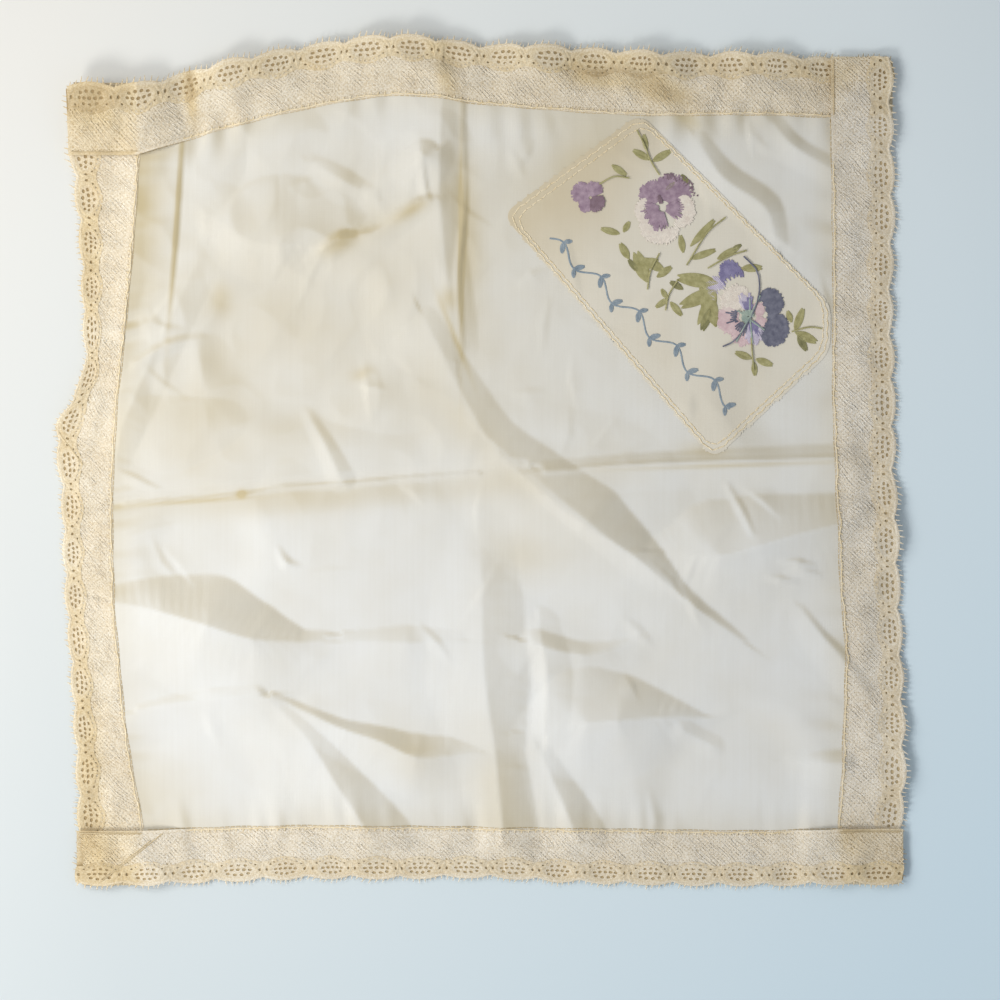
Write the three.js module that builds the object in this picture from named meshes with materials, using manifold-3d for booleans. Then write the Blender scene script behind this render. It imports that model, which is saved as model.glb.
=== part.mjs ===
// A fine handkerchief with an embroidered panel and a scalloped lace edge,
// lying wrong side up in its creases on a flat surface. Millimetres, +Z up.
import * as THREE from 'three';
import { mergeVertices } from 'three/addons/utils/BufferGeometryUtils.js';
import Module from 'manifold-3d';

// Driving sizes
const CLOTH_SIDE = 240;
const HALF = CLOTH_SIDE / 2;
const THICK = 1.2;
const GAP = 0.3;
const LACE_WIDTH = 20;
const SCALLOPS_PER_SIDE = 18;
const SCALLOP_DEPTH = 1.5;
const PICOT_ROOM = 1;
const LIFT_CURVE = 1.2;
const FLOAT_LEVEL = 1.3;
const REST_FADE = 16;
const CRISP_SHARE = 0.6;
const CORNER_GAP = 0.5;
const CORNER_RAMP = 14;
const CORNER_MARGIN = 5;
const PANEL_CORNER_RADIUS = 5;
const PANEL_HALF_WIDTH = 27;

// Fineness of the solids
const CLOTH_CELLS = 40;
const CELLS_PER_SCALLOP = 4;
const LACE_ROWS = 3;
const PRISM_HEIGHT = 60;
const MERGE_DISTANCE = 1e-4;

const LINEN = { color: 0xece9dc, roughness: 0.75, metalness: 0 };
const PANEL_LINEN = { color: 0xd6ccb2, roughness: 0.8, metalness: 0 };
const LACE_COTTON = { color: 0xdcc9a2, roughness: 0.9, metalness: 0 };

// The four lace sides, clockwise from the top, and the rows of each in the same direction:
// at = place along the hem, seam = how far the hem bows outward, reach = width of the lace there,
// lift = height of its free edge. overStart and overEnd say which end lies over its neighbour.
const SIDES = [
  {
    name: 'lace_top', overStart: true, overEnd: false,
    rows: [
      { at: -120, seam: -15, reach: 24, lift: 6 },
      { at: -105, seam: -10.4, reach: 23.4, lift: 3 },
      { at: -90, seam: -6, reach: 22.7, lift: 7 },
      { at: -60, seam: 1, reach: 21.7, lift: 3 },
      { at: -30, seam: 5, reach: 20.3, lift: 7.5 },
      { at: 0, seam: 2, reach: 20.7, lift: 3.5 },
      { at: 17, seam: 0.7, reach: 21.7, lift: 6 },
      { at: 35, seam: -0.6, reach: 22.2, lift: 3 },
      { at: 58, seam: -1.6, reach: 21.7, lift: 6 },
      { at: 76, seam: -1.5, reach: 21.5, lift: 3 },
      { at: 94, seam: -1.4, reach: 21.3, lift: 5.5 },
      { at: 120, seam: -2.3, reach: 20.6, lift: 2 },
    ],
  },
  {
    name: 'lace_right', overStart: true, overEnd: false,
    rows: [
      { at: -120, seam: -2.7, reach: 21.4, lift: 2 },
      { at: -90, seam: -2, reach: 21.7, lift: 1 },
      { at: -60, seam: -1.7, reach: 20.7, lift: 2 },
      { at: -30, seam: -1.7, reach: 21.4, lift: 1 },
      { at: 0, seam: -1, reach: 21, lift: 2 },
      { at: 18, seam: -0.4, reach: 21, lift: 4.5 },
      { at: 40, seam: 0.8, reach: 20.7, lift: 1.5 },
      { at: 60, seam: 2.3, reach: 20, lift: 2 },
      { at: 103, seam: 1, reach: 22, lift: 4 },
      { at: 120, seam: -0.3, reach: 22.3, lift: 1 },
    ],
  },
  {
    name: 'lace_bottom', overStart: true, overEnd: true,
    rows: [
      { at: -120, seam: -0.3, reach: 19.3, lift: 1 },
      { at: -90, seam: 0.7, reach: 19, lift: 0 },
      { at: -30, seam: -0.3, reach: 19, lift: 1 },
      { at: 0, seam: -0.7, reach: 17.7, lift: 2 },
      { at: 30, seam: -1, reach: 18.3, lift: 1 },
      { at: 60, seam: -1.3, reach: 18.6, lift: 0 },
      { at: 120, seam: 0.3, reach: 19, lift: 0 },
    ],
  },
  {
    name: 'lace_left', overStart: false, overEnd: false,
    rows: [
      { at: -120, seam: -8, reach: 22.7, lift: 0 },
      { at: -90, seam: -3, reach: 18.7, lift: 1 },
      { at: -60, seam: 0, reach: 17.3, lift: 0 },
      { at: -30, seam: 2, reach: 17.3, lift: 1 },
      { at: 0, seam: 2.3, reach: 18, lift: 0.5 },
      { at: 23, seam: 1.1, reach: 21, lift: 2 },
      { at: 32, seam: 0.5, reach: 16.8, lift: 3.5 },
      { at: 45, seam: -0.9, reach: 13.4, lift: 3 },
      { at: 60, seam: -2.3, reach: 15.3, lift: 1.5 },
      { at: 90, seam: -5, reach: 19.3, lift: 1 },
      { at: 120, seam: -7, reach: 24.2, lift: 3 },
    ],
  },
];

// The main folds, each followed along its crest. rise = height of the crest (a trough is negative),
// steep = width of the face on the left of the way along, broad = width of the face on the right.
const FOLDS = {
  centreCreaseLeft: [
    { x: -122, y: -11, rise: -1.4, steep: 4, broad: 12 },
    { x: -46, y: -4, rise: -1.4, steep: 4, broad: 12 },
    { x: 14, y: 1, rise: -0.8, steep: 4, broad: 10 },
  ],
  centreCreaseRight: [
    { x: 22, y: 1, rise: 0.8, steep: 7, broad: 9 },
    { x: 60, y: 2, rise: 2.4, steep: 7, broad: 9 },
    { x: 124, y: 4, rise: 2.2, steep: 7, broad: 9 },
  ],
  upperUpright: [
    { x: -12, y: 130, rise: 2, steep: 8, broad: 22 },
    { x: -13, y: 90, rise: 3.2, steep: 8, broad: 22 },
    { x: -8, y: 42, rise: 0.8, steep: 8, broad: 16 },
  ],
  lowerUpright: [
    { x: 2, y: -24, rise: 0.5, steep: 10, broad: 16 },
    { x: 2, y: -45, rise: 3, steep: 14, broad: 22 },
    { x: 4, y: -90, rise: 4, steep: 13, broad: 22 },
    { x: 9, y: -124, rise: 3, steep: 11, broad: 16 },
  ],
  leftHemFold: [
    { x: -112, y: 116, rise: 2, steep: 13, broad: 8 },
    { x: -114, y: 98, rise: 3.4, steep: 15, broad: 8 },
    { x: -116, y: 70, rise: 2.8, steep: 14, broad: 8 },
    { x: -120, y: 14, rise: 1, steep: 9, broad: 6 },
  ],
  leftFacet: [
    { x: -121, y: -44, rise: 2, steep: 5, broad: 20 },
    { x: -93, y: -51, rise: 5.4, steep: 16, broad: 25 },
    { x: -70, y: -56, rise: 4.4, steep: 12, broad: 25 },
    { x: -50, y: -55, rise: 0.4, steep: 2, broad: 15 },
  ],
  lowerLeftSwell: [
    { x: -75, y: -84, rise: 0.6, steep: 7, broad: 10 },
    { x: -58, y: -100, rise: 2.2, steep: 9, broad: 16 },
    { x: -38, y: -122, rise: 2, steep: 9, broad: 14 },
  ],
  lowerLeftWedge: [
    { x: -69, y: -75, rise: 0.8, steep: 5, broad: 8 },
    { x: -36, y: -91, rise: 4, steep: 10, broad: 13 },
    { x: -13, y: -99, rise: 0.8, steep: 5, broad: 8 },
  ],
  longDiagonal: [
    { x: -19, y: 55, rise: 0.6, steep: 8, broad: 14 },
    { x: -4, y: 18, rise: 3.2, steep: 10, broad: 24 },
    { x: 24, y: -9, rise: 4.2, steep: 12, broad: 30 },
    { x: 52, y: -30, rise: 4.8, steep: 12, broad: 34 },
    { x: 89, y: -57, rise: 0.3, steep: 2, broad: 12 },
  ],
  rightFacet: [
    { x: 62, y: -29, rise: 1, steep: 6, broad: 14 },
    { x: 86, y: -28, rise: 5, steep: 17, broad: 24 },
    { x: 124, y: -18, rise: 4.6, steep: 14, broad: 22 },
  ],
  lowerFacet: [
    { x: 20, y: -84, rise: 0.4, steep: 6, broad: 14 },
    { x: 42, y: -82, rise: 4.6, steep: 15, broad: 20 },
    { x: 75, y: -82, rise: 0.3, steep: 2, broad: 10 },
  ],
  bottomFacet: [
    { x: 22, y: -96, rise: 0.6, steep: 4, broad: 8 },
    { x: 34, y: -122, rise: 3.2, steep: 12, broad: 14 },
  ],
  rightHemFold: [
    { x: 106, y: -44, rise: 0.3, steep: 4, broad: 8 },
    { x: 118, y: -61, rise: 2.2, steep: 6, broad: 12 },
    { x: 131, y: -78, rise: 1.2, steep: 5, broad: 8 },
  ],
};

// Where the cloth lies flat on the surface: centre and radius of each spot
const RESTS = [
  { x: -94, y: -104, core: 16 },
  { x: 84, y: -106, core: 18 },
  { x: 104, y: 26, core: 12 },
  { x: -60, y: 43, core: 20 },
  { x: -92, y: -27, core: 9 },
];

// Corners of the panel, clockwise from the left one; the right end is cut off along the hem
const PANEL_CORNERS = [
  { x: 9, y: 84.5 },
  { x: 54, y: 117.5 },
  { x: 116.2, y: 55.5 },
  { x: 116.2, y: 39.5 },
  { x: 78, y: 4.5 },
];

const wasm = await Module();
wasm.setup();

// Smooth curve through one column of a side's rows, level past both ends
function along(rows, column, at) {
  const last = rows.length - 1;
  const place = THREE.MathUtils.clamp(at, rows[0].at, rows[last].at);
  const before = Math.min(rows.findLastIndex((row) => row.at <= place), last - 1);
  const slope = (index) => {
    const low = rows[Math.max(index - 1, 0)];
    const high = rows[Math.min(index + 1, last)];
    return (high[column] - low[column]) / (high.at - low.at);
  };
  const [from, to] = [rows[before], rows[before + 1]];
  const span = to.at - from.at;
  const k = (place - from.at) / span;
  const ease = k * k * (3 - 2 * k);
  const lean = slope(before) * k * (1 - k) ** 2 - slope(before + 1) * k * k * (1 - k);
  return from[column] * (1 - ease) + to[column] * ease + span * lean;
}

// A quarter turn clockwise for each side takes (along, outward) from the top edge to that side
function turned(alongEdge, outward, quarter) {
  const places = [
    [alongEdge, outward],
    [outward, -alongEdge],
    [-alongEdge, -outward],
    [-outward, alongEdge],
  ];
  return places[quarter];
}

// The place along and out from each side of a point of the flat pattern
function fromSide(u, v, quarter) {
  const [alongEdge, outward] = turned(u, v, (4 - quarter) % 4);
  return { alongEdge, outward };
}

// The flat pattern pulled to the hem's uneven outline
function laidPlace(u, v) {
  const bow = SIDES.map((side, quarter) => along(side.rows, 'seam', fromSide(u, v, quarter).alongEdge));
  const across = THREE.MathUtils.clamp((u + HALF) / CLOTH_SIDE, 0, 1);
  const up = THREE.MathUtils.clamp((v + HALF) / CLOTH_SIDE, 0, 1);
  return {
    x: u + THREE.MathUtils.lerp(-bow[3], bow[1], across),
    y: v + THREE.MathUtils.lerp(-bow[2], bow[0], up),
  };
}

// Height of one straight stretch of a fold above a point
function stretchHeight(from, to, x, y) {
  const [run, climb] = [to.x - from.x, to.y - from.y];
  const part = ((x - from.x) * run + (y - from.y) * climb) / (run * run + climb * climb);
  const k = THREE.MathUtils.clamp(part, 0, 1);
  const [offX, offY] = [x - from.x - k * run, y - from.y - k * climb];
  const onLeft = run * offY - climb * offX > 0;
  const face = onLeft ? 'steep' : 'broad';
  const width = THREE.MathUtils.lerp(from[face], to[face], k);
  const nearness = Math.max(0, 1 - Math.hypot(offX, offY) / width);
  const rounded = nearness * nearness * (3 - 2 * nearness);
  const profile = THREE.MathUtils.lerp(rounded, nearness, CRISP_SHARE);
  return THREE.MathUtils.lerp(from.rise, to.rise, k) * profile;
}

function foldHeight(points, x, y) {
  let strongest = 0;
  for (let i = 1; i < points.length; i += 1) {
    const height = stretchHeight(points[i - 1], points[i], x, y);
    if (Math.abs(height) > Math.abs(strongest)) strongest = height;
  }
  return strongest;
}

// The cloth floats a little above the surface except round its resting spots
function floatLevel(x, y) {
  const levels = RESTS.map((rest) => {
    const past = Math.hypot(x - rest.x, y - rest.y) - rest.core;
    return FLOAT_LEVEL * THREE.MathUtils.smoothstep(past, 0, REST_FADE);
  });
  return Math.min(...levels);
}

// Underside height of the sheet at a point of the flat pattern
function laidHeight(u, v) {
  const { x, y } = laidPlace(u, v);
  let freeEdge = 0;
  let lift = 0;
  SIDES.forEach((side, quarter) => {
    const { alongEdge, outward } = fromSide(u, v, quarter);
    const out = Math.max(0, (outward - HALF) / LACE_WIDTH);
    freeEdge = Math.max(freeEdge, Math.min(out, 1));
    lift += along(side.rows, 'lift', alongEdge) * out ** LIFT_CURVE;
  });
  const folds = Object.values(FOLDS).reduce((sum, points) => sum + foldHeight(points, x, y), 0);
  return Math.max(0, (floatLevel(x, y) + folds) * (1 - freeEdge) + lift);
}

// A sheet: a flat box in many cells. place gives each point's spot in the flat pattern from its shares
// along and across the box, and how far it is raised off the layer below.
function sheetGeometry(cellsAlong, cellsAcross, place) {
  const geometry = new THREE.BoxGeometry(1, 1, 1, cellsAlong, cellsAcross, 1);
  const points = geometry.attributes.position;
  for (let i = 0; i < points.count; i += 1) {
    const { u, v, raised } = place(points.getX(i) + 0.5, points.getY(i) + 0.5);
    const { x, y } = laidPlace(u, v);
    const layer = points.getZ(i) > 0 ? THICK : 0;
    points.setXYZ(i, x, y, laidHeight(u, v) + raised + layer);
  }
  return closed(geometry);
}

function closed(geometry) {
  geometry.deleteAttribute('normal');
  geometry.deleteAttribute('uv');
  return mergeVertices(geometry, MERGE_DISTANCE);
}

// The whole cloth with its hem, before the window is cut
function clothSheet() {
  return sheetGeometry(CLOTH_CELLS, CLOTH_CELLS, (partU, partV) => ({
    u: (partU - 0.5) * CLOTH_SIDE,
    v: (partV - 0.5) * CLOTH_SIDE,
    raised: 0,
  }));
}

// How far a lace end that lies over its neighbour is raised at a place along the hem
function overlapRise(side, alongEdge) {
  const top = HALF - CORNER_MARGIN;
  const pastStart = THREE.MathUtils.smoothstep(-alongEdge, top - CORNER_RAMP, top);
  const pastEnd = THREE.MathUtils.smoothstep(alongEdge, top - CORNER_RAMP, top);
  const clear = THICK + CORNER_GAP;
  return clear * ((side.overStart ? pastStart : 0) + (side.overEnd ? pastEnd : 0));
}

// One length of lace, as long as its side with both corners, scalloped along its free edge
function laceSheet(side, quarter) {
  const before = SIDES[(quarter + 3) % 4].rows.at(-1);
  const after = SIDES[(quarter + 1) % 4].rows[0];
  const start = -HALF - before.reach + PICOT_ROOM;
  const end = HALF + after.reach - PICOT_ROOM;
  const cells = SCALLOPS_PER_SIDE * CELLS_PER_SCALLOP;
  return sheetGeometry(cells, LACE_ROWS, (partAlong, partOut) => {
    const alongEdge = THREE.MathUtils.lerp(start, end, partAlong);
    const lobe = Math.abs(Math.sin(Math.PI * SCALLOPS_PER_SIDE * partAlong));
    const width = along(side.rows, 'reach', alongEdge) - PICOT_ROOM - SCALLOP_DEPTH * (1 - lobe);
    const outward = HALF + THREE.MathUtils.lerp(GAP, width, partOut);
    const [u, v] = turned(alongEdge, outward, quarter);
    return { u, v, raised: overlapRise(side, alongEdge) };
  });
}

// The panel's outline with rounded corners, grown from its middle by a scale
function panelShape(scale) {
  const middle = new THREE.Vector2();
  PANEL_CORNERS.forEach((corner) => middle.add(corner));
  middle.divideScalar(PANEL_CORNERS.length);
  const corners = PANEL_CORNERS.map(({ x, y }) => (
    new THREE.Vector2(x, y).sub(middle).multiplyScalar(scale).add(middle)
  ));
  const shape = new THREE.Shape();
  corners.forEach((corner, i) => {
    const near = (other) => {
      const way = other.clone().sub(corner);
      const length = Math.min(PANEL_CORNER_RADIUS, way.length() / 3);
      return corner.clone().add(way.setLength(length));
    };
    const into = near(corners.at(i - 1));
    const out = near(corners[(i + 1) % corners.length]);
    if (i === 0) shape.moveTo(into.x, into.y);
    else shape.lineTo(into.x, into.y);
    shape.quadraticCurveTo(corner.x, corner.y, out.x, out.y);
  });
  shape.closePath();
  return shape;
}

function panelPrism(scale) {
  const prism = new THREE.ExtrudeGeometry(panelShape(scale), {
    depth: PRISM_HEIGHT, bevelEnabled: false, curveSegments: 3,
  });
  prism.translate(0, 0, -PRISM_HEIGHT / 2);
  return closed(prism);
}

// Solids for joining and cutting, and back again
function solidOf(geometry) {
  const mesh = new wasm.Mesh({
    numProp: 3,
    vertProperties: new Float32Array(geometry.attributes.position.array),
    triVerts: new Uint32Array(geometry.index.array),
  });
  return new wasm.Manifold(mesh);
}

function geometryOf(solid) {
  const mesh = solid.getMesh();
  const geometry = new THREE.BufferGeometry();
  geometry.setAttribute('position', new THREE.BufferAttribute(mesh.vertProperties, 3));
  geometry.setIndex(new THREE.BufferAttribute(mesh.triVerts, 1));
  return geometry;
}

function pieceMesh(name, geometry, look) {
  geometry.computeVertexNormals();
  const mesh = new THREE.Mesh(geometry, new THREE.MeshStandardMaterial(look));
  mesh.name = name;
  return mesh;
}

const handkerchief = new THREE.Group();

// The panel and its window are cut from the same laid sheet, so they lie flush
const windowScale = 1 + GAP / PANEL_HALF_WIDTH;
const sheet = solidOf(clothSheet());
const cloth = sheet.subtract(solidOf(panelPrism(windowScale)));
const panel = sheet.intersect(solidOf(panelPrism(1)));
handkerchief.add(pieceMesh('cloth', geometryOf(cloth), LINEN));
handkerchief.add(pieceMesh('panel', geometryOf(panel), PANEL_LINEN));

SIDES.forEach((side, quarter) => {
  handkerchief.add(pieceMesh(side.name, laceSheet(side, quarter), LACE_COTTON));
});

// The origin is the middle of the underside of the whole
const box = new THREE.Box3().setFromObject(handkerchief);
const middle = box.getCenter(new THREE.Vector3());
handkerchief.position.set(-middle.x, -middle.y, -box.min.z);

export default handkerchief;
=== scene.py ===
# A fine handkerchief with an embroidered panel and a scalloped lace edge, lying wrong side up in its creases.
# Shapes are worked out in millimetres, in the frame of the flat pattern, and placed in metres at the end.
import math
from collections import namedtuple

import bpy
import numpy as np
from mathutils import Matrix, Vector


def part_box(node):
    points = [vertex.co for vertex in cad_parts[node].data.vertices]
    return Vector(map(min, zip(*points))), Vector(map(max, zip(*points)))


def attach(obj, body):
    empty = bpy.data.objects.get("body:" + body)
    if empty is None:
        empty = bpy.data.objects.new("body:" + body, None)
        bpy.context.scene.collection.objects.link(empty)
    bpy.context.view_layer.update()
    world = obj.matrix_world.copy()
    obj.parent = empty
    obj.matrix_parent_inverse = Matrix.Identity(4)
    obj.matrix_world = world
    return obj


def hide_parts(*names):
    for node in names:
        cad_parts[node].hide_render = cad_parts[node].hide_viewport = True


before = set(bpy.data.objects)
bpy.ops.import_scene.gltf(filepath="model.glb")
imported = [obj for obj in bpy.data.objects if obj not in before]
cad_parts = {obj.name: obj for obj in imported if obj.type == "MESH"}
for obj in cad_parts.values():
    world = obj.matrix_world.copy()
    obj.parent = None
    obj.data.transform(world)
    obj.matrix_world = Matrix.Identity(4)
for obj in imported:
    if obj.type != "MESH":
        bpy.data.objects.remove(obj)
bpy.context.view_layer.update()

# Driving sizes of the cloth, lace and panel, as in the solids
MM = 0.001
CLOTH_SIDE = 240
HALF = CLOTH_SIDE / 2
GAP = 0.3
LACE_WIDTH = 20
SCALLOPS_PER_SIDE = 18
SCALLOP_DEPTH = 1.5
PICOT_ROOM = 1
LIFT_CURVE = 1.2
FLOAT_LEVEL = 1.3
REST_FADE = 16
CORNER_CLEARANCE = 1.7
CORNER_RAMP = 14
CORNER_MARGIN = 5
PANEL_CORNER_RADIUS = 5
PANEL_HALF_WIDTH = 27

# Sizes that only the dressed sheet has
LAYER = 0.45
SOFT_FLOOR = 0.4
CREST_STEPS = 5
GATHER_RISE = 0.14
GATHER_REACH = 9
LACE_PUCKER = 0.22
LACE_SETTLE = 1.6
STEEP_SWELL = 0.2
BROAD_FADE = 1.3
CRUMPLE_RISE = 0.26
CRUMPLE_LEAST = 0.25
# Painted shade on faces turned from the lamps: the slope that takes the full tint, and its strength
PAINTED_SHADE_SLOPE = 0.32
PAINTED_SHADE_TINT = 0.42
CRUMPLE_LENGTH = 42
SHORT_CREASES = 70
CLOTH_CELLS = 300
PANEL_CELL = 0.8
PANEL_OVERLAP = 0.5
PANEL_RISE = 0.18
PANEL_STAIN_LEAST = 0.12
PANEL_STAIN_MORE = 0.5
SNAP_SHARE = 0.55
HEM_STAIN = 0.25
HEM_STAIN_REACH = 7

# Sizes of the lace pattern, before it is laid
NET_DEPTH = 13.5
NET_PITCH_ALONG = 1.5
NET_PITCH_OUT = 1.6
NET_THREAD_MAIN = 0.34
NET_THREAD_CROSS = 0.16
NET_ROOF = 0.09
NET_SHAKE = 0.18
NET_UNEVEN = 0.16
NET_OPEN = (0.35, 1.05)
NET_TONE = 0.1
STROKES_PER_SIDE = 1500
STROKE_WIDTH = 0.42
STROKE_INSET = 2
STROKE_MARGIN = 1.5
STROKE_HALF = (0.5, 1.3)
BAND_START = 11.6
BAND_WAVE = 0.9
BAND_COLUMNS = 60
BAND_ROWS = 28
MEDALLION_LONG = 5.0
MEDALLION_WIDE = 2.7
GIMP_RISE = 0.26
THREAD_ROOF = 0.13
PICOT_PITCH = 1.9
PICOT_LENGTH = 1.7
PICOT_WIDTH = 0.55
PICOT_LEAN = 0.5
PICOT_SHAKE = 0.4
PICOT_ROOT = 0.3
PICOT_TONE = 0.4
FOOTING_WIDTH = 5.6
GROUND_CELL = 1.0
GROUND_ROWS = 16
GROUND_WIDTH = 18
HEM_LAP = 0.8
NET_COVER = 0.8
FOOTING_COVER = 0.94
THREAD_COVER = 0.92
HEM_LAP_RISE = 0.12
THREAD_LEVEL = 0.1
THREAD_WANDER = 0.4
# Painted shade: the deep tan of the ground under the band, seen through the eyelets
EYELET_SHADE_TONE = 1.5
# Darker doubled corners, in the ground and in the threads: partly closer thread, partly painted shade of the
# doubled layers
CORNER_TONE = 0.35
CORNER_DOUBLING_AND_SHADE = 0.3

# Sizes of the sewing threads: width and rise of each kind, then its places from the hem
CORD_FORM = (0.42, 0.15)
TICK_FORM = (0.34, 0.1)
RUNNING_FORM = (0.3, 0.05)
EDGE_FORM = (0.34, 0.12)
CORD_STEPS = 400
CORD_OUT = 0.1
CORD_WANDER = 0.15
CORD_LEVEL = 0.25
TICK_PITCH = 2.4
TICK_LEAN = 0.4
TICK_LENGTH = 1.1
TICK_LEVEL = 0.3
RUNNING_PITCH = 1.9
RUNNING_LENGTH = 1.5
RUNNING_INSET = 0.55
RUNNING_WANDER = 0.12
RUNNING_WAVE = 3.1
RUNNING_LEVEL = 0.08
END_INSET = 1
EDGE_STEPS = 24
EDGE_DEPTH = 0.2
EDGE_LEVEL = 0.3
CREASE_LEVEL = 0.35

# Sizes of the panel's border stitches and its embroidery threads
SEWING_WIDTH = 0.42
FLOSS_WIDTH = 0.5
THREAD_RISE = 0.2
STITCH_LEVEL = 0.05
FLOSS_LEVEL = 0.06
FLOSS_LAYER = 0.12
STEM_LEVEL = 0.4
STEM_STEPS = 14
LEAF_PITCH = 0.42
LEAF_SLANT = 0.12
PETAL_ROUNDING = 0.22

Row = namedtuple("Row", "at seam reach lift")
Side = namedtuple("Side", "name over_start over_end rows")
Crest = namedtuple("Crest", "x y rise steep broad")
Rest = namedtuple("Rest", "x y core")
StainAndShade = namedtuple("StainAndShade", "x y long wide turn strength")
Eyelet = namedtuple("Eyelet", "along across half_long half_wide")
Petal = namedtuple("Petal", "heading spread inner outer count ragged layer")
Leaf = namedtuple("Leaf", "x y heading length width")
StitchRow = namedtuple("StitchRow", "inset length gap slant")
Light = namedtuple("Light", "name place size power colour")

# The four lace sides, clockwise from the top, and the rows of each in the same direction
SIDES = [
    Side("lace_top", True, False, [
        Row(-120, -15, 24, 6), Row(-105, -10.4, 23.4, 3), Row(-90, -6, 22.7, 7), Row(-60, 1, 21.7, 3),
        Row(-30, 5, 20.3, 7.5), Row(0, 2, 20.7, 3.5), Row(17, 0.7, 21.7, 6), Row(35, -0.6, 22.2, 3),
        Row(58, -1.6, 21.7, 6), Row(76, -1.5, 21.5, 3), Row(94, -1.4, 21.3, 5.5), Row(120, -2.3, 20.6, 2),
    ]),
    Side("lace_right", True, False, [
        Row(-120, -2.7, 21.4, 2), Row(-90, -2, 21.7, 1), Row(-60, -1.7, 20.7, 2), Row(-30, -1.7, 21.4, 1),
        Row(0, -1, 21, 2), Row(18, -0.4, 21, 4.5), Row(40, 0.8, 20.7, 1.5), Row(60, 2.3, 20, 2),
        Row(103, 1, 22, 4), Row(120, -0.3, 22.3, 1),
    ]),
    Side("lace_bottom", True, True, [
        Row(-120, -0.3, 19.3, 1), Row(-90, 0.7, 19, 0), Row(-30, -0.3, 19, 1), Row(0, -0.7, 17.7, 2),
        Row(30, -1, 18.3, 1), Row(60, -1.3, 18.6, 0), Row(120, 0.3, 19, 0),
    ]),
    Side("lace_left", False, False, [
        Row(-120, -8, 22.7, 0), Row(-90, -3, 18.7, 1), Row(-60, 0, 17.3, 0), Row(-30, 2, 17.3, 1),
        Row(0, 2.3, 18, 0.5), Row(23, 1.1, 21, 2), Row(32, 0.5, 16.8, 3.5), Row(45, -0.9, 13.4, 3),
        Row(60, -2.3, 15.3, 1.5), Row(90, -5, 19.3, 1), Row(120, -7, 24.2, 3),
    ]),
]

# The main folds, each along its crest, with the steep face on the left of the way along
FOLDS = {
    "centre_crease_left": [
        Crest(-122, -11, -0.7, 3, 9), Crest(-46, -4, -0.8, 3, 10), Crest(14, 1, -0.5, 3, 9),
    ],
    "centre_crease_right": [
        Crest(22, 0, 0.5, 3, 9), Crest(60, 2, 1.2, 4, 9), Crest(124, 4, 1.2, 5, 9),
    ],
    "upper_upright": [
        Crest(-12, 130, 1.4, 8, 22), Crest(-13, 90, 2.2, 8, 22), Crest(-8, 42, 0.6, 8, 16),
    ],
    "lower_upright": [
        Crest(1, -22, 0.3, 10, 12), Crest(1, -45, 1.5, 14, 18), Crest(2, -70, 2.2, 15, 20),
        Crest(5.5, -95, 2, 10, 14), Crest(8, -124, 2.8, 13, 10),
    ],
    "left_hem_fold": [
        Crest(-112, 116, 1.2, 13, 8), Crest(-114, 98, 2, 15, 8), Crest(-116, 70, 1.6, 14, 8),
        Crest(-120, 14, 0.6, 9, 6),
    ],
    "left_facet": [
        Crest(-121, -44, 1.7, 6, 20), Crest(-105, -47.3, 3.7, 12, 22), Crest(-90, -51.6, 5.2, 17, 25),
        Crest(-75.5, -56, 4.2, 12.5, 25), Crest(-59, -56.4, 1.2, 3.5, 18), Crest(-50, -55, 0.3, 1.5, 15),
    ],
    "lower_left_swell": [
        Crest(-70, -76, 0.2, 2, 8), Crest(-57, -89.5, 0.9, 4.5, 12), Crest(-47, -105, 2.2, 9, 16),
        Crest(-35, -123, 2.8, 13, 16),
    ],
    "lower_left_wedge": [
        Crest(-69, -75, 0.3, 1.5, 6), Crest(-46, -85.8, 1.4, 3, 10), Crest(-32, -90.5, 2.4, 5, 13),
        Crest(-21, -95.5, 2.8, 8, 14), Crest(-11, -95, 1.8, 6.5, 12), Crest(0, -94, 0.3, 2, 8),
    ],
    "long_diagonal": [
        Crest(-18, 50, 0.6, 5, 12), Crest(-6, 26, 1.2, 8, 18), Crest(4, 9, 1.7, 10, 22),
        Crest(17, -4, 2.5, 13, 26), Crest(35, -18.3, 3.5, 15, 30), Crest(52, -29, 3, 8.5, 30),
        Crest(67, -42, 1.6, 4, 22), Crest(88, -57, 0.3, 1.5, 12),
    ],
    "right_facet": [
        Crest(63, -27.5, 1.2, 7, 14), Crest(80, -28.7, 4.2, 19, 18), Crest(93, -25.4, 4.5, 17.5, 20),
        Crest(106, -21.5, 4, 13.5, 20), Crest(124, -17, 3, 9.5, 18),
    ],
    "lower_facet": [
        Crest(17, -86.5, 0.3, 6, 12), Crest(36, -84.2, 3.8, 19, 20), Crest(46, -83.2, 4.1, 15.5, 20),
        Crest(56, -82.2, 2.6, 10, 18), Crest(75, -82, 0.3, 1, 10),
    ],
    "bottom_facet": [
        Crest(21, -95, 0.5, 4, 8), Crest(30, -116, 2, 9, 12), Crest(33, -123, 2.2, 10, 12),
    ],
    "right_hem_fold": [
        Crest(107, -46, 0.2, 1.5, 5), Crest(114, -55, 0.7, 2, 8), Crest(121, -63, 0.9, 3, 9),
        Crest(131, -78, 0.8, 4, 8),
    ],
}

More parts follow.
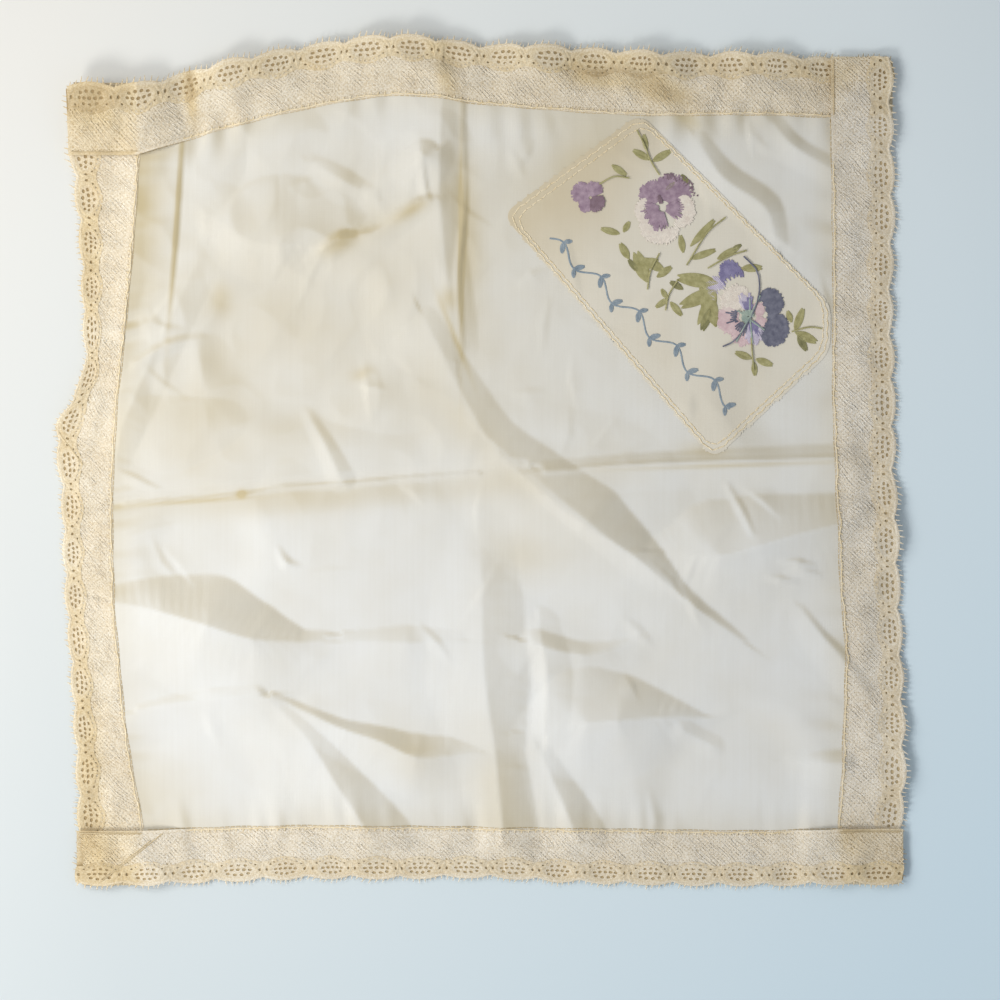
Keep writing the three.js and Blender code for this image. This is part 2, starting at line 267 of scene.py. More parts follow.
# Smaller creases of the dressed sheet, in the same form
FINE_FOLDS = {
    "middle_left_crease": [
        Crest(-44, -57, 0.3, 3, 16), Crest(-24, -57.5, 1.2, 6, 16), Crest(-8, -57, 0.3, 4, 14),
    ],
    "left_low_crease": [
        Crest(-113, -80, 0.4, 2, 10), Crest(-102, -78, 0.8, 3, 12), Crest(-89, -76.5, 1.2, 4.5, 14),
        Crest(-74, -75, 0.8, 4, 14),
    ],
    "lower_upright_neighbour": [
        Crest(20, -52, 0.5, 7, 5), Crest(22.5, -68, 1.3, 9, 5), Crest(22, -86, 0.6, 8, 5),
    ],
    "middle_right_crease": [
        Crest(18, -57.5, 1.2, 5, 12), Crest(34, -61.5, 1.4, 4.5, 14), Crest(44, -59.5, 0.6, 3, 10),
        Crest(53, -56, 0.2, 1.5, 8),
    ],
    "right_low_crease": [
        Crest(104, -97, 0.3, 3, 8), Crest(121, -98, 1.6, 5, 9),
    ],
    "left_hem_wave": [
        Crest(-93, 70, 0.5, 7, 10), Crest(-104, 47, 1, 8, 12), Crest(-117, 18, 1.1, 8, 8),
        Crest(-121, 5, 0.5, 6, 6),
    ],
    "left_pinch": [
        Crest(-114, 35, 0.4, 2, 4), Crest(-103.4, 41.5, 0.9, 2.2, 4), Crest(-93, 44, 0.2, 2, 4),
    ],
    "left_hem_line": [
        Crest(-99, 114, 0.2, 1.3, 8), Crest(-100, 92, 0.6, 1.3, 10), Crest(-101.5, 73, 0.6, 1.3, 10),
        Crest(-103.5, 52, 0.2, 1.3, 8),
    ],
    "upper_left_patch": [
        Crest(-86, 90, 0.2, 6, 10), Crest(-80, 78, 1.6, 16, 12), Crest(-66, 74.5, 2.4, 24, 14),
        Crest(-52, 78, 1.2, 16, 10), Crest(-46, 82, 0.2, 6, 8),
    ],
    "small_wedge": [
        Crest(-57, 19, 0.2, 2, 3), Crest(-51, 8, 0.7, 3.5, 4), Crest(-46, -3, 0.8, 5, 5),
    ],
    "short_upright": [
        Crest(-19, 105, 0.2, 1.4, 2.5), Crest(-18, 94, 0.6, 1.6, 3), Crest(-16.5, 89, 0.2, 1.4, 2.5),
    ],
    "upper_upright_line": [
        Crest(-5.5, 122, 0.3, 1.4, 2), Crest(-5, 86, 0.6, 1.5, 2), Crest(-7, 64, 0.5, 1.5, 2),
        Crest(-5.7, 40, 0.2, 1.4, 2),
    ],
    "upper_left_streak": [
        Crest(-55, 102, 0.2, 3, 6), Crest(-45, 96, 0.8, 4.5, 8), Crest(-35, 91, 0.2, 3, 6),
    ],
    "small_peak": [
        Crest(-67, -26, 0.1, 1.5, 2), Crest(-64, -31, 0.7, 2.2, 3), Crest(-60, -32, 0.1, 1.5, 2),
    ],
    "long_diagonal_slope": [
        Crest(8, 6, 0.2, 20, 6), Crest(36, -17, 1.2, 36, 6), Crest(62, -38, 0.3, 20, 6),
    ],
    "centre_line_left": [
        Crest(-118, -11, 0.35, 1, 1.5), Crest(-78, -8.2, 0.6, 1, 1.5), Crest(-66, -5.8, 0.65, 1, 1.5),
        Crest(-46, -4.7, 0.65, 1, 1.5), Crest(-28, -3, 0.6, 1, 1.5), Crest(0, -1, 0.4, 1, 1.5),
    ],
    "centre_line_right": [
        Crest(22, -0.5, 0.25, 1.2, 1.6), Crest(60, 2, 0.4, 1.3, 1.6), Crest(118, 4, 0.3, 1.2, 1.6),
    ],
    "stained_crease": [
        Crest(-57, 70, 0.2, 2, 5), Crest(-51, 74, 1, 2.5, 6), Crest(-46, 77, 1.3, 3, 6),
        Crest(-40, 77.5, 0.5, 2, 5), Crest(-33, 79.5, 1, 2.5, 6), Crest(-26, 84.5, 1.4, 3, 6),
        Crest(-19.5, 89, 1.2, 2.5, 6), Crest(-15, 90, 0.3, 2, 5),
    ],
    "upper_crease": [
        Crest(-34, 93, 0.6, 5, 8), Crest(-18, 104, 1.8, 6, 10),
    ],
    "corner_crease": [
        Crest(73, 109, 0.5, 4, 8), Crest(81, 97, 1.8, 6, 10), Crest(95, 87, 1.6, 6, 10),
        Crest(99, 76, 0.5, 4, 8),
    ],
    "corner_small_crease": [
        Crest(98, 115, 0.6, 4, 6), Crest(104, 108, 1.2, 4, 7), Crest(117, 100, 0.6, 4, 6),
    ],
    "small_right_crease": [
        Crest(82.4, -5, 0.2, 1.5, 2), Crest(87, -13, 0.5, 1.8, 2.5), Crest(90.5, -21, 0.2, 1.5, 2),
    ],
    "right_wrinkle_top": [
        Crest(100, -30.5, 0.2, 1.5, 2), Crest(106, -31, 0.8, 2, 2.5), Crest(111, -32, 0.2, 1.5, 2),
    ],
    "right_wrinkle_middle": [
        Crest(103, -34, 0.2, 1.5, 2), Crest(108, -34, 0.7, 2, 2.5), Crest(113, -35, 0.2, 1.5, 2),
    ],
    "right_wrinkle_low": [
        Crest(96, -35.5, 0.2, 1.5, 2), Crest(100, -36.5, 0.7, 2, 2.5), Crest(105, -37, 0.2, 1.5, 2),
    ],
    "small_low_crease": [
        Crest(68, -87, 0.6, 4, 5), Crest(78, -92, 0.5, 4, 5),
    ],
}

# How much each side's lace has yellowed, clockwise from the top
LACE_AGE = [0.3, 0.0, 0.1, 0.3]

# Where the cloth lies flat on the surface: centre and radius of each spot
RESTS = [
    Rest(-94, -104, 16), Rest(84, -106, 18), Rest(104, 26, 12), Rest(-60, 43, 20), Rest(-92, -27, 9),
]

# Corners of the panel, clockwise from the left one
PANEL_CORNERS = [(9, 84.5), (54, 117.5), (116.2, 55.5), (116.2, 39.5), (78, 4.5)]

# Yellow-brown marks of age, and thin lines of painted shade along the creases: middle, half sizes, turn in
# degrees and strength
STAINS_AND_CREASE_SHADE = [
    StainAndShade(-22, 86.5, 6, 2, 32, 0.45), StainAndShade(-46, 75.5, 6, 3, 30, 0.45), StainAndShade(-4, 78, 26, 5, 92, 0.4),
    StainAndShade(-60, 56, 80, 60, 0, 0.34), StainAndShade(34, 100, 14, 8, 40, 0.3), StainAndShade(-98, 12, 24, 18, 0, 0.25),
    StainAndShade(-52, -9, 72, 5, 4, 0.3), StainAndShade(-79, -8, 1.6, 1.4, 0, 0.8), StainAndShade(6, -108, 9, 18, 10, 0.35),
    StainAndShade(14, -28, 14, 9, 0, 0.3), StainAndShade(0, 10, 30, 7, -45, 0.25), StainAndShade(-106, -108, 16, 14, 0, 0.25),
    StainAndShade(-20, -96, 14, 9, -30, 0.25), StainAndShade(-112, 90, 8, 30, 0, 0.3), StainAndShade(30, 104, 30, 12, 30, 0.3),
    # The lines 0.8 to 0.9 mm wide in this table are painted shade along the crease lines
    StainAndShade(60, 60, 80, 70, 0, 0.15), StainAndShade(-6, 80, 40, 0.8, 90, 0.5), StainAndShade(-8, 44, 13, 0.9, -68, 0.5),
    StainAndShade(-98, -10.6, 22, 0.8, 4, 0.5), StainAndShade(85, 1.5, 34, 0.8, 2, 0.5), StainAndShade(-10, 57, 3, 4, 0, 0.4),
    StainAndShade(-39, 32, 4, 2, 20, 0.3), StainAndShade(-86, 57, 4, 5, 0, 0.35), StainAndShade(76, 7, 9, 3, 0, 0.4),
    StainAndShade(-100.5, 84, 32, 0.8, 86, 0.6), StainAndShade(69, 117, 7, 3, -40, 0.4), StainAndShade(-33, 82, 22, 4, 25, 0.15),
]

# Darker patches of the lace, painted shade of its soft folds, partly closer work, in the same form
LACE_SHADE_MARKS = [
    StainAndShade(40, 131, 11, 4, -5, 0.9), StainAndShade(60, 127, 11, 5, -25, 0.9), StainAndShade(-96, 128, 12, 2, 95, 1.0),
    StainAndShade(-11, 131, 10, 3.5, 105, 0.6), StainAndShade(-129, -104, 26, 4, 90, 0.5), StainAndShade(-132, 70, 20, 5, 90, 0.3),
    StainAndShade(-127, -125, 11, 9, 0, 0.5), StainAndShade(-127, 122, 10, 9, 0, 0.5), StainAndShade(124, -121, 9, 8, 0, 0.3),
    StainAndShade(126, 122, 7, 9, 0, -0.3), StainAndShade(121, 131, 8, 5, 45, 0.5),
]

# Sharp creases of the lace: its side, from and to along the side, from and to across it
LACE_CREASES = [(2, (113, 135), (0.5, 19.5)), (2, (117, 133), (3, 17)), (3, (23.5, 10), (20, 10.5))]

# Rows of stitches round the panel
PANEL_ROWS = [StitchRow(0.2, 1.9, 0.2, 0.2), StitchRow(1.1, 1.7, 0.4, 0.12)]

# Middles of the flowers and the bud
PANSY_PLUM = (61, 87)
PANSY_BLUE = (89.5, 51)
BUD = (37, 90.5)

# Each colour's petals, with the middle of their flower
PETALS = {
    "plum": [
        (PANSY_PLUM, Petal(122, 40, 2.5, 10.5, 34, 0.1, 0)),
        (PANSY_PLUM, Petal(58, 42, 2.5, 12.5, 40, 0.1, 0)),
        (PANSY_PLUM, Petal(190, 34, 1.2, 7.6, 22, 0.35, 2)),
        (PANSY_PLUM, Petal(250, 36, 1.2, 8.8, 24, 0.35, 2)),
        (PANSY_PLUM, Petal(-5, 34, 1.2, 8.2, 22, 0.35, 2)),
        (BUD, Petal(150, 44, 0.5, 7, 22, 0.12, 0)), (BUD, Petal(65, 40, 0.5, 6, 20, 0.12, 1)),
        (BUD, Petal(-120, 40, 0.5, 5.5, 20, 0.12, 1)),
    ],
    "plum_deep": [
        (PANSY_PLUM, Petal(40, 20, 10.5, 13.2, 16, 0.1, 1)),
        (PANSY_PLUM, Petal(75, 14, 9.6, 12.4, 12, 0.15, 1)),
        (PANSY_PLUM, Petal(105, 12, 1.5, 5, 10, 0.3, 2)), (BUD, Petal(-40, 48, 0.5, 5.6, 24, 0.12, 2)),
    ],
    "cream": [
        (PANSY_PLUM, Petal(193, 42, 5.5, 9.6, 34, 0.08, 1)),
        (PANSY_PLUM, Petal(262, 46, 6.2, 12.6, 40, 0.08, 1)),
        (PANSY_PLUM, Petal(-8, 40, 5.8, 11.5, 34, 0.08, 1)),
        (PANSY_BLUE, Petal(128, 36, 3.5, 12.5, 36, 0.1, 0)),
    ],
    "lavender": [
        (PANSY_BLUE, Petal(138, 16, 12, 19, 18, 0.1, 0)),
        (PANSY_BLUE, Petal(100, 20, 2.5, 9, 16, 0.3, 1)),
        (PANSY_BLUE, Petal(-70, 26, 2.5, 10, 20, 0.15, 1)),
    ],
    "violet": [
        (PANSY_BLUE, Petal(112, 15, 12.6, 20.5, 26, 0.06, 1)),
        (PANSY_BLUE, Petal(-60, 22, 2, 7.4, 14, 0.35, 2)),
        (PANSY_BLUE, Petal(90, 22, 1.5, 7.5, 10, 0.4, 2)),
    ],
    "pink": [
        (PANSY_BLUE, Petal(190, 36, 3, 11, 34, 0.1, 0)),
        (PANSY_BLUE, Petal(-105, 30, 3, 10.5, 26, 0.1, 0)),
        (PANSY_BLUE, Petal(35, 28, 2.5, 7, 20, 0.15, 0)),
        (PANSY_BLUE, Petal(-28, 26, 2.5, 7, 20, 0.15, 0)),
    ],
    "navy": [
        (PANSY_BLUE, Petal(33, 27, 6, 13.5, 44, 0.06, 1)),
        (PANSY_BLUE, Petal(-27, 30, 6, 15, 52, 0.06, 1)),
        (PANSY_BLUE, Petal(180, 24, 3.5, 8.5, 8, 0.35, 2)),
        (PANSY_BLUE, Petal(-120, 22, 2.5, 7.5, 7, 0.35, 2)),
    ],
    "teal": [
        (PANSY_BLUE, Petal(150, 150, 0.2, 2.6, 26, 0.2, 3)),
    ],
}

# Each colour's leaves and stems
LEAVES = {
    "olive": [
        Leaf(57, 103, 150, 6.5, 2.4), Leaf(57.5, 102.5, 30, 7, 2.4), Leaf(55.8, 106, 100, 5.5, 1.8),
        Leaf(44, 101.5, -35, 6, 2.2), Leaf(47, 78.5, 165, 6.5, 2.2), Leaf(48, 79, 60, 4, 2),
        Leaf(50, 70, 120, 6, 2.6), Leaf(56, 62, 110, 11, 4.6), Leaf(59, 64, 35, 6, 2.4),
        Leaf(80, 62, 172, 14, 4.6), Leaf(79, 60, 205, 13, 4.4), Leaf(79, 47, 108, 15, 5.2),
        Leaf(79, 60, 245, 13, 4.4), Leaf(60, 70, 200, 9, 3.6), Leaf(62, 66, 150, 8, 3.2),
        Leaf(63, 57, 215, 5, 2), Leaf(63.5, 56, -50, 6, 2.2), Leaf(62.5, 57, 120, 3.5, 1.8),
        Leaf(70, 74, 48, 12, 2.2), Leaf(70, 70, 20, 9, 2.2), Leaf(79, 70, 28, 8, 2.4),
        Leaf(87, 67, 2, 7, 2.6), Leaf(68, 72, 100, 6, 2.2), Leaf(105, 46, 70, 8, 2.6),
        Leaf(105, 46, -25, 8, 3), Leaf(104, 49, 110, 4, 2),
        Leaf(91, 37, 160, 6, 2.4), Leaf(92, 37, -20, 6, 2.4), Leaf(91.5, 36, -85, 4.5, 2),
    ],
    "olive_deep": [
        Leaf(53, 66, 130, 5, 2), Leaf(77, 54, 250, 8, 3), Leaf(68, 60, 150, 5, 2.2),
        Leaf(84, 73, 30, 3.6, 1.6), Leaf(106, 45, -60, 6, 2.4), Leaf(62, 93, 40, 4, 1.6),
        Leaf(70, 95, 130, 4, 1.6),
    ],
}

STEMS = {
    "olive": [
        [(60, 98), (57, 103), (55, 108), (52.5, 113)], [(40, 95), (45, 97.5), (50, 97)],
        [(56, 60), (57, 66), (60, 72)], [(62, 53), (63, 58), (66, 63)], [(69, 68), (76, 79), (82, 84)],
        [(104, 46), (110, 47.5), (114, 47)], [(90.5, 44), (91, 38), (91.5, 33)],
        [(76, 67), (83, 71), (89, 73)],
    ],
    "navy": [
        [(88, 71), (92.5, 66), (93, 58), (90, 50), (85, 43), (81, 41)],
    ],
    "teal": [
        [(85.5, 42.5), (90, 51), (93.5, 58)], [(86, 53), (90, 50), (95, 46.5)],
        [(90, 57), (90.2, 50), (91, 42)],
    ],
}

# A wavy trailing stem with paired leaves along the panel's lower left side
VINE_START = (23.5, 77)
VINE_END = (84.5, 21.5)
VINE_WAVE = 2.1
VINE_PITCH = 17
VINE_LEAF = 3.6
VINE_LEAF_WIDTH = 1.7
VINE_TURN = 55
VINE_PAIR_SHARE = 0.8
VINE_PAIR_WIDTH = 1.5
VINE_PAIR_TURN = 0.9
VINE_WIDTH = 0.6
VINE_STEPS = 90

# Screen colours of each floss, pale and deep
FLOSS = {
    "plum": ((182, 160, 174), (150, 126, 144)),
    "plum_deep": ((150, 128, 140), (128, 106, 116)),
    "cream": ((238, 230, 218), (226, 215, 203)),
    "lavender": ((214, 207, 220), (190, 181, 202)),
    "violet": ((152, 146, 180), (124, 118, 156)),
    "pink": ((226, 204, 204), (210, 182, 186)),
    "navy": ((132, 133, 148), (98, 100, 118)),
    "teal": ((172, 186, 174), (144, 162, 154)),
    "olive": ((184, 179, 132), (156, 151, 102)),
    "olive_deep": ((150, 147, 104), (124, 122, 84)),
    "vine": ((158, 170, 178), (128, 144, 158)),
}

# Stage: what the photo shows, from how high, and the light painted on the board, cooler towards one side and
# brighter towards another
PHOTO_MIDDLE = (7, -10)
PHOTO_SIDE = 1000 / 3
CAMERA_HEIGHT = 800
SENSOR = 36
FLOOR_PAINTED_COOL = (40, -205, 222)
FLOOR_PAINTED_BRIGHT = (-15, -160, 167)
FLOOR_HALF = 2500
ROOM_COLOUR = (0.95, 0.97, 1.0, 1.0)
ROOM_STRENGTH = 0.35

# Disc lights that face the middle: place and size in metres
LIGHTS = [
    Light("key", (-0.5, -0.46, 0.54), 0.26, 3.35, (1.0, 0.98, 0.95)),
    Light("window", (-0.38, 0.1, 0.36), 0.3, 1.4, (1.0, 0.97, 0.92)),
    Light("cool_fill", (0.7, -0.35, 0.6), 0.5, 0.28, (0.5, 0.72, 1.0)),
]


# The laid shape

def smoothstep(value, low, high):
    part = np.clip((value - low) / (high - low), 0, 1)
    return part * part * (3 - 2 * part)


def smooth_curve(places, values, at):
    """Smooth curve through values at rising places, level past both ends."""
    count = len(places)
    low = np.maximum(np.arange(count) - 1, 0)
    high = np.minimum(np.arange(count) + 1, count - 1)
    slopes = (values[high] - values[low]) / (places[high] - places[low])
    at = np.clip(at, places[0], places[-1])
    before = np.clip(np.searchsorted(places, at, side="right") - 1, 0, count - 2)
    span = places[before + 1] - places[before]
    k = (at - places[before]) / span
    ease = k * k * (3 - 2 * k)
    lean = slopes[before] * k * (1 - k) ** 2 - slopes[before + 1] * k * k * (1 - k)
    return values[before] * (1 - ease) + values[before + 1] * ease + span * lean


def along(rows, column, at):
    places = np.array([row.at for row in rows], float)
    values = np.array([getattr(row, column) for row in rows], float)
    return smooth_curve(places, values, at)


def turned(along_edge, outward, quarter):
    """A quarter turn clockwise for each side takes a place at the top edge to that side."""
    places = [
        (along_edge, outward), (outward, -along_edge), (-along_edge, -outward), (-outward, along_edge),
    ]
    return places[quarter]


def from_side(u, v, quarter):
    return turned(u, v, (4 - quarter) % 4)


def laid_place(u, v):
    """The flat pattern pulled to the hem's uneven outline."""
    bow = [along(side.rows, "seam", from_side(u, v, q)[0]) for q, side in enumerate(SIDES)]
    across = np.clip((u + HALF) / CLOTH_SIDE, 0, 1)
    up = np.clip((v + HALF) / CLOTH_SIDE, 0, 1)
    return u - bow[3] * (1 - across) + bow[1] * across, v - bow[2] * (1 - up) + bow[0] * up


def pattern_place(x, y):
    """The point of the flat pattern that is laid at x, y."""
    u, v = np.array(x, float), np.array(y, float)
    for _ in range(4):
        laid_x, laid_y = laid_place(u, v)
        u, v = u + x - laid_x, v + y - laid_y
    return u, v


def smooth_crest(points):
    """The crest's points with in-between ones: a smooth line, with straight changes of rise and reach."""
    table = np.array(points, float)
    steps = np.hypot(np.diff(table[:, 0]), np.diff(table[:, 1]))
    places = np.concatenate([[0], np.cumsum(steps)])
    at = np.interp(np.arange((len(table) - 1) * CREST_STEPS + 1) / CREST_STEPS, np.arange(len(table)), places)
    line = [smooth_curve(places, column, at) for column in table.T[:2]]
    form = [np.interp(at, places, column) for column in table.T[2:]]
    return np.stack(line + form, axis=1)


def stretch_height(start, end, x, y):
    """Height of a fold's straight stretch: its steep face swells to a sharp foot, its broad one fades."""
    run, climb = end[0] - start[0], end[1] - start[1]
    k = np.clip(((x - start[0]) * run + (y - start[1]) * climb) / (run * run + climb * climb), 0, 1)
    off_x, off_y = x - start[0] - k * run, y - start[1] - k * climb
    on_left = run * off_y - climb * off_x > 0
    rise, steep, broad = (start[i] + (end[i] - start[i]) * k for i in (2, 3, 4))
    far = np.minimum(1, np.hypot(off_x, off_y) / np.where(on_left, steep, broad))
    swelling = 1 - (1 - STEEP_SWELL) * far - STEEP_SWELL * far * far
    return rise * np.where(on_left, swelling, (1 - far) ** BROAD_FADE)


def crest_height(crest, x, y):
    """Height of a fold along its crest, the strongest of its stretches."""
    reach = crest[:, 3:].max()
    low, high = crest[:, :2].min(axis=0) - reach, crest[:, :2].max(axis=0) + reach
    near = (x > low[0]) & (x < high[0]) & (y > low[1]) & (y < high[1])
    near_x, near_y = x[near], y[near]
    strongest = np.zeros_like(near_x)
    for start, end in zip(crest[:-1], crest[1:]):
        height = stretch_height(start, end, near_x, near_y)
        strongest = np.where(np.abs(height) > np.abs(strongest), height, strongest)
    total = np.zeros_like(x)
    total[near] = strongest
    return total


def short_creases():
    """Many small seeded creases, each a row of three crest points."""
    chance = np.random.default_rng(17)
    creases = []
    for _ in range(SHORT_CREASES):
        middle = chance.uniform(-HALF, HALF, 2)
        turn, half_length = chance.uniform(0, 2 * math.pi), chance.uniform(5, 15)
        way = half_length * np.array([math.cos(turn), math.sin(turn)])
        bend = chance.uniform(-0.2, 0.2) * np.array([-way[1], way[0]])
        rise, steep, broad = chance.uniform(0.1, 0.4), chance.uniform(1.2, 3), chance.uniform(3, 7)
        ends = [(*(middle - way), 0, steep / 2, broad / 2), (*(middle + way), 0, steep / 2, broad / 2)]
        creases.append(np.array([ends[0], (*(middle + bend), rise, steep, broad), ends[1]]))
    return creases


def float_level(x, y):
    """The cloth floats a little above the surface except round its resting spots."""
    levels = [
        FLOAT_LEVEL * smoothstep(np.hypot(x - rest.x, y - rest.y) - rest.core, 0, REST_FADE) for rest in RESTS
    ]
    return np.min(levels, axis=0)


def ripple(x, y, length, seed):
    """Uneven smooth waves of about one length, from plane waves in seeded directions."""
    chance = np.random.default_rng(seed)
    waves = 9
    total = np.zeros_like(x)
    for _ in range(waves):
        turn, phase = chance.uniform(0, 2 * math.pi, 2)
        pitch = 2 * math.pi / (length * chance.uniform(0.7, 1.4))
        total += np.sin(pitch * (x * math.cos(turn) + y * math.sin(turn)) + phase)
    return total / math.sqrt(waves / 2)


def crumple(x, y):
    """Faint creased facets all over the cloth, most in its upper left quarter."""
    share = CRUMPLE_LEAST + (1 - CRUMPLE_LEAST) * smoothstep(-x, -20, 20) * smoothstep(y, -20, 20)
    facets = np.abs(ripple(x, y, CRUMPLE_LENGTH, 5)) - 0.5 * np.abs(ripple(x, y, CRUMPLE_LENGTH / 2, 8))
    return CRUMPLE_RISE * share * facets + sum(crest_height(crest, x, y) for crest in short_creases())


def gathers(u, v):
    """Small puckers that the sewing draws up along the hem."""
    total = np.zeros_like(u)
    for quarter in range(len(SIDES)):
        along_edge, outward = from_side(u, v, quarter)
        waves = ripple(along_edge, np.full_like(along_edge, 50.0 * quarter), 7, 11 + quarter)
        patchy = np.maximum(0, 0.6 + ripple(along_edge, outward, 40, 90 + quarter))
        total += waves * patchy * np.exp(-((outward - HALF) / GATHER_REACH) ** 2)
    return GATHER_RISE * total


def sheet_height(u, v):
    """Height of the cloth or lace at a point of the flat pattern."""
    x, y = laid_place(u, v)
    free_edge, lift = np.zeros_like(x), np.zeros_like(x)
    for quarter, side in enumerate(SIDES):
        along_edge, outward = from_side(u, v, quarter)
        out = np.maximum(0, (outward - HALF) / LACE_WIDTH)
        free_edge = np.maximum(free_edge, np.minimum(out, 1))
        pucker = ripple(along_edge, outward, 13, 70 + quarter) * np.sin(np.pi * np.minimum(out, 1))
        settled = np.maximum(0, along(side.rows, "lift", along_edge) - LACE_SETTLE)
        lift += settled * out ** LIFT_CURVE + LACE_PUCKER * pucker
    crests = [smooth_crest(points) for points in [*FOLDS.values(), *FINE_FOLDS.values()]]
    folds = sum(crest_height(crest, x, y) for crest in crests)
    inner = float_level(x, y) + folds + crumple(x, y) + gathers(u, v)
    height = inner * (1 - free_edge) + lift
    return LAYER + (height + np.sqrt(height * height + SOFT_FLOOR * SOFT_FLOOR)) / 2


def laid_points(u, v, raised=0.0):
    x, y = laid_place(u, v)
    return np.stack([x, y, sheet_height(u, v) + raised], axis=-1)


def points_at(x, y, raised=0.0):
    """Points on the sheet above places x, y of the laid cloth."""
    u, v = pattern_place(x, y)
    return np.stack([x, y, sheet_height(u, v) + raised], axis=-1)


# Outline of the panel

def panel_outline(margin):
    """The panel's outline with rounded corners, grown by a margin."""
    corners = np.array(PANEL_CORNERS, float)
    middle = corners.mean(axis=0)
    corners = middle + (corners - middle) * (1 + margin / PANEL_HALF_WIDTH)
    points = []
    for i, corner in enumerate(corners):
        ends = []
        for other in (corners[i - 1], corners[(i + 1) % len(corners)]):
            way = other - corner
            length = np.hypot(*way)
            ends.append(corner + way / length * min(PANEL_CORNER_RADIUS, length / 3))
        for k in np.linspace(0, 1, 7):
            points.append(ends[0] * (1 - k) ** 2 + corner * 2 * k * (1 - k) + ends[1] * k * k)
    return np.array(points)


def evenly_spaced(path, step, closed=False):
    """Points about one step apart along a path."""
    if closed:
        path = np.concatenate([path, path[:1]])
    lengths = np.concatenate([[0], np.cumsum(np.hypot(*np.diff(path, axis=0).T))])
    count = max(2, round(lengths[-1] / step))
    at = np.linspace(0, lengths[-1], count + 1)
    if closed:
        at = at[:-1]
    return np.stack([np.interp(at, lengths, path[:, i]) for i in (0, 1)], axis=1)


def is_inside(outline, x, y):
    inside = np.zeros(x.shape, bool)
    for (x0, y0), (x1, y1) in zip(outline, np.roll(outline, -1, axis=0)):
        crosses = (y0 > y) != (y1 > y)
        rise = y1 - y0 if y1 != y0 else 1.0
        inside ^= crosses & (x < x0 + (y - y0) / rise * (x1 - x0))
    return inside


def snapped(outline, x, y, reach):
    """Moves the points that lie within reach of an outline onto it."""
    border = evenly_spaced(outline, reach / 3, closed=True)
    low, high = border.min(axis=0) - reach, border.max(axis=0) + reach
    near = np.flatnonzero((x > low[0]) & (x < high[0]) & (y > low[1]) & (y < high[1]))
    x, y = x.copy(), y.copy()
    for i in near:
        distance = np.hypot(border[:, 0] - x[i], border[:, 1] - y[i])
        closest = distance.argmin()
        if distance[closest] < reach:
            x[i], y[i] = border[closest]
    return x, y


# Meshes

def grid_faces(columns, rows):
    """Quads of a grid whose points run row by row."""
    corner = (np.arange(rows)[:, None] * (columns + 1) + np.arange(columns)).ravel()
    return np.stack([corner, corner + 1, corner + columns + 2, corner + columns + 1], axis=1)


def without_loose(points, faces):
    used, index = np.unique(faces, return_inverse=True)
    return points[used], index.reshape(faces.shape), used


def joined(parts):
    """One list of points and faces from several."""
    counts = np.cumsum([0] + [len(points) for points, _ in parts])
    faces = [part[1] + start for part, start in zip(parts, counts)]
    return np.concatenate([part[0] for part in parts]), np.concatenate(faces)


def mesh_piece(name, points, faces, material, slot):
    mesh = bpy.data.meshes.new(name)
    placed = (points + PATTERN_ORIGIN) * MM
    mesh.from_pydata(placed.tolist(), [], faces.tolist())
    mesh.shade_smooth()
    mesh.materials.append(material)
    piece = bpy.data.objects.new(name, mesh)
    bpy.context.scene.collection.objects.link(piece)
    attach(piece, "root")
    return piece


def set_values(piece, name, values):
    """Keeps one number for each point, for the material to read."""
    piece.data.attributes.new(name, "FLOAT", "POINT").data.foreach_set("value", values)


def ribbons(paths, width, rise):
    """Roof-shaped threads along paths, an array of threads, points and coordinates."""
    count, steps = paths.shape[:2]
    ways = np.gradient(paths, axis=1)[..., :2]
    ways /= np.maximum(np.hypot(ways[..., 0], ways[..., 1])[..., None], 1e-9)
    across = np.stack([-ways[..., 1], ways[..., 0], np.zeros((count, steps))], axis=-1) * width / 2
    taper = 0.25 + 0.75 * np.sin(np.pi * (np.arange(steps) + 0.5) / steps)
    crest = paths + np.stack([0 * taper, 0 * taper, rise * taper], axis=-1)
    points = np.stack([paths + across, crest, paths - across], axis=2).reshape(-1, 3)
    first = (np.arange(count)[:, None] * steps + np.arange(steps - 1)).ravel() * 3
    left = np.stack([first, first + 3, first + 4, first + 1], axis=1)
    return points, np.concatenate([left, left + 1])


def stitch_paths(starts, ends, raised, steps=4):
    """Straight stitches that lie on the sheet, from start places to end places."""
    part = np.linspace(0, 1, steps)[None, :, None]
    places = np.asarray(starts)[:, None] * (1 - part) + np.asarray(ends)[:, None] * part
    return points_at(places[..., 0], places[..., 1], raised)


# Materials

def srgb(red, green, blue):
    """Linear colour of a screen colour."""
    return tuple(((c / 255 + 0.055) / 1.055) ** 2.4 for c in (red, green, blue)) + (1.0,)


def node(tree, kind, **settings):
    made = tree.nodes.new(kind)
    for key, value in settings.items():
        setattr(made, key, value)
    return made


def noise_at(tree, stretch, detail=3.0):
    """Noise in millimetres of the object, stretched along each axis."""
    place = node(tree, "ShaderNodeTexCoord")
    mapping = node(tree, "ShaderNodeMapping")
    mapping.inputs["Scale"].default_value = [1 / (MM * length) for length in stretch]
    noise = node(tree, "ShaderNodeTexNoise")
    noise.inputs["Scale"].default_value = 1.0
    noise.inputs["Detail"].default_value = detail
    tree.links.new(place.outputs["Object"], mapping.inputs["Vector"])
    tree.links.new(mapping.outputs["Vector"], noise.inputs["Vector"])
    return noise.outputs["Fac"]


def mixed(tree, factor, low, high, blend="MIX"):
    """Mix of two colours, each a colour or a socket."""
    mix = node(tree, "ShaderNodeMix", data_type="RGBA", blend_type=blend)
    for socket, value in ((mix.inputs["Factor"], factor), (mix.inputs[6], low), (mix.inputs[7], high)):
        if isinstance(value, bpy.types.NodeSocket):
            tree.links.new(value, socket)
        else:
            socket.default_value = value
    return mix.outputs[2]


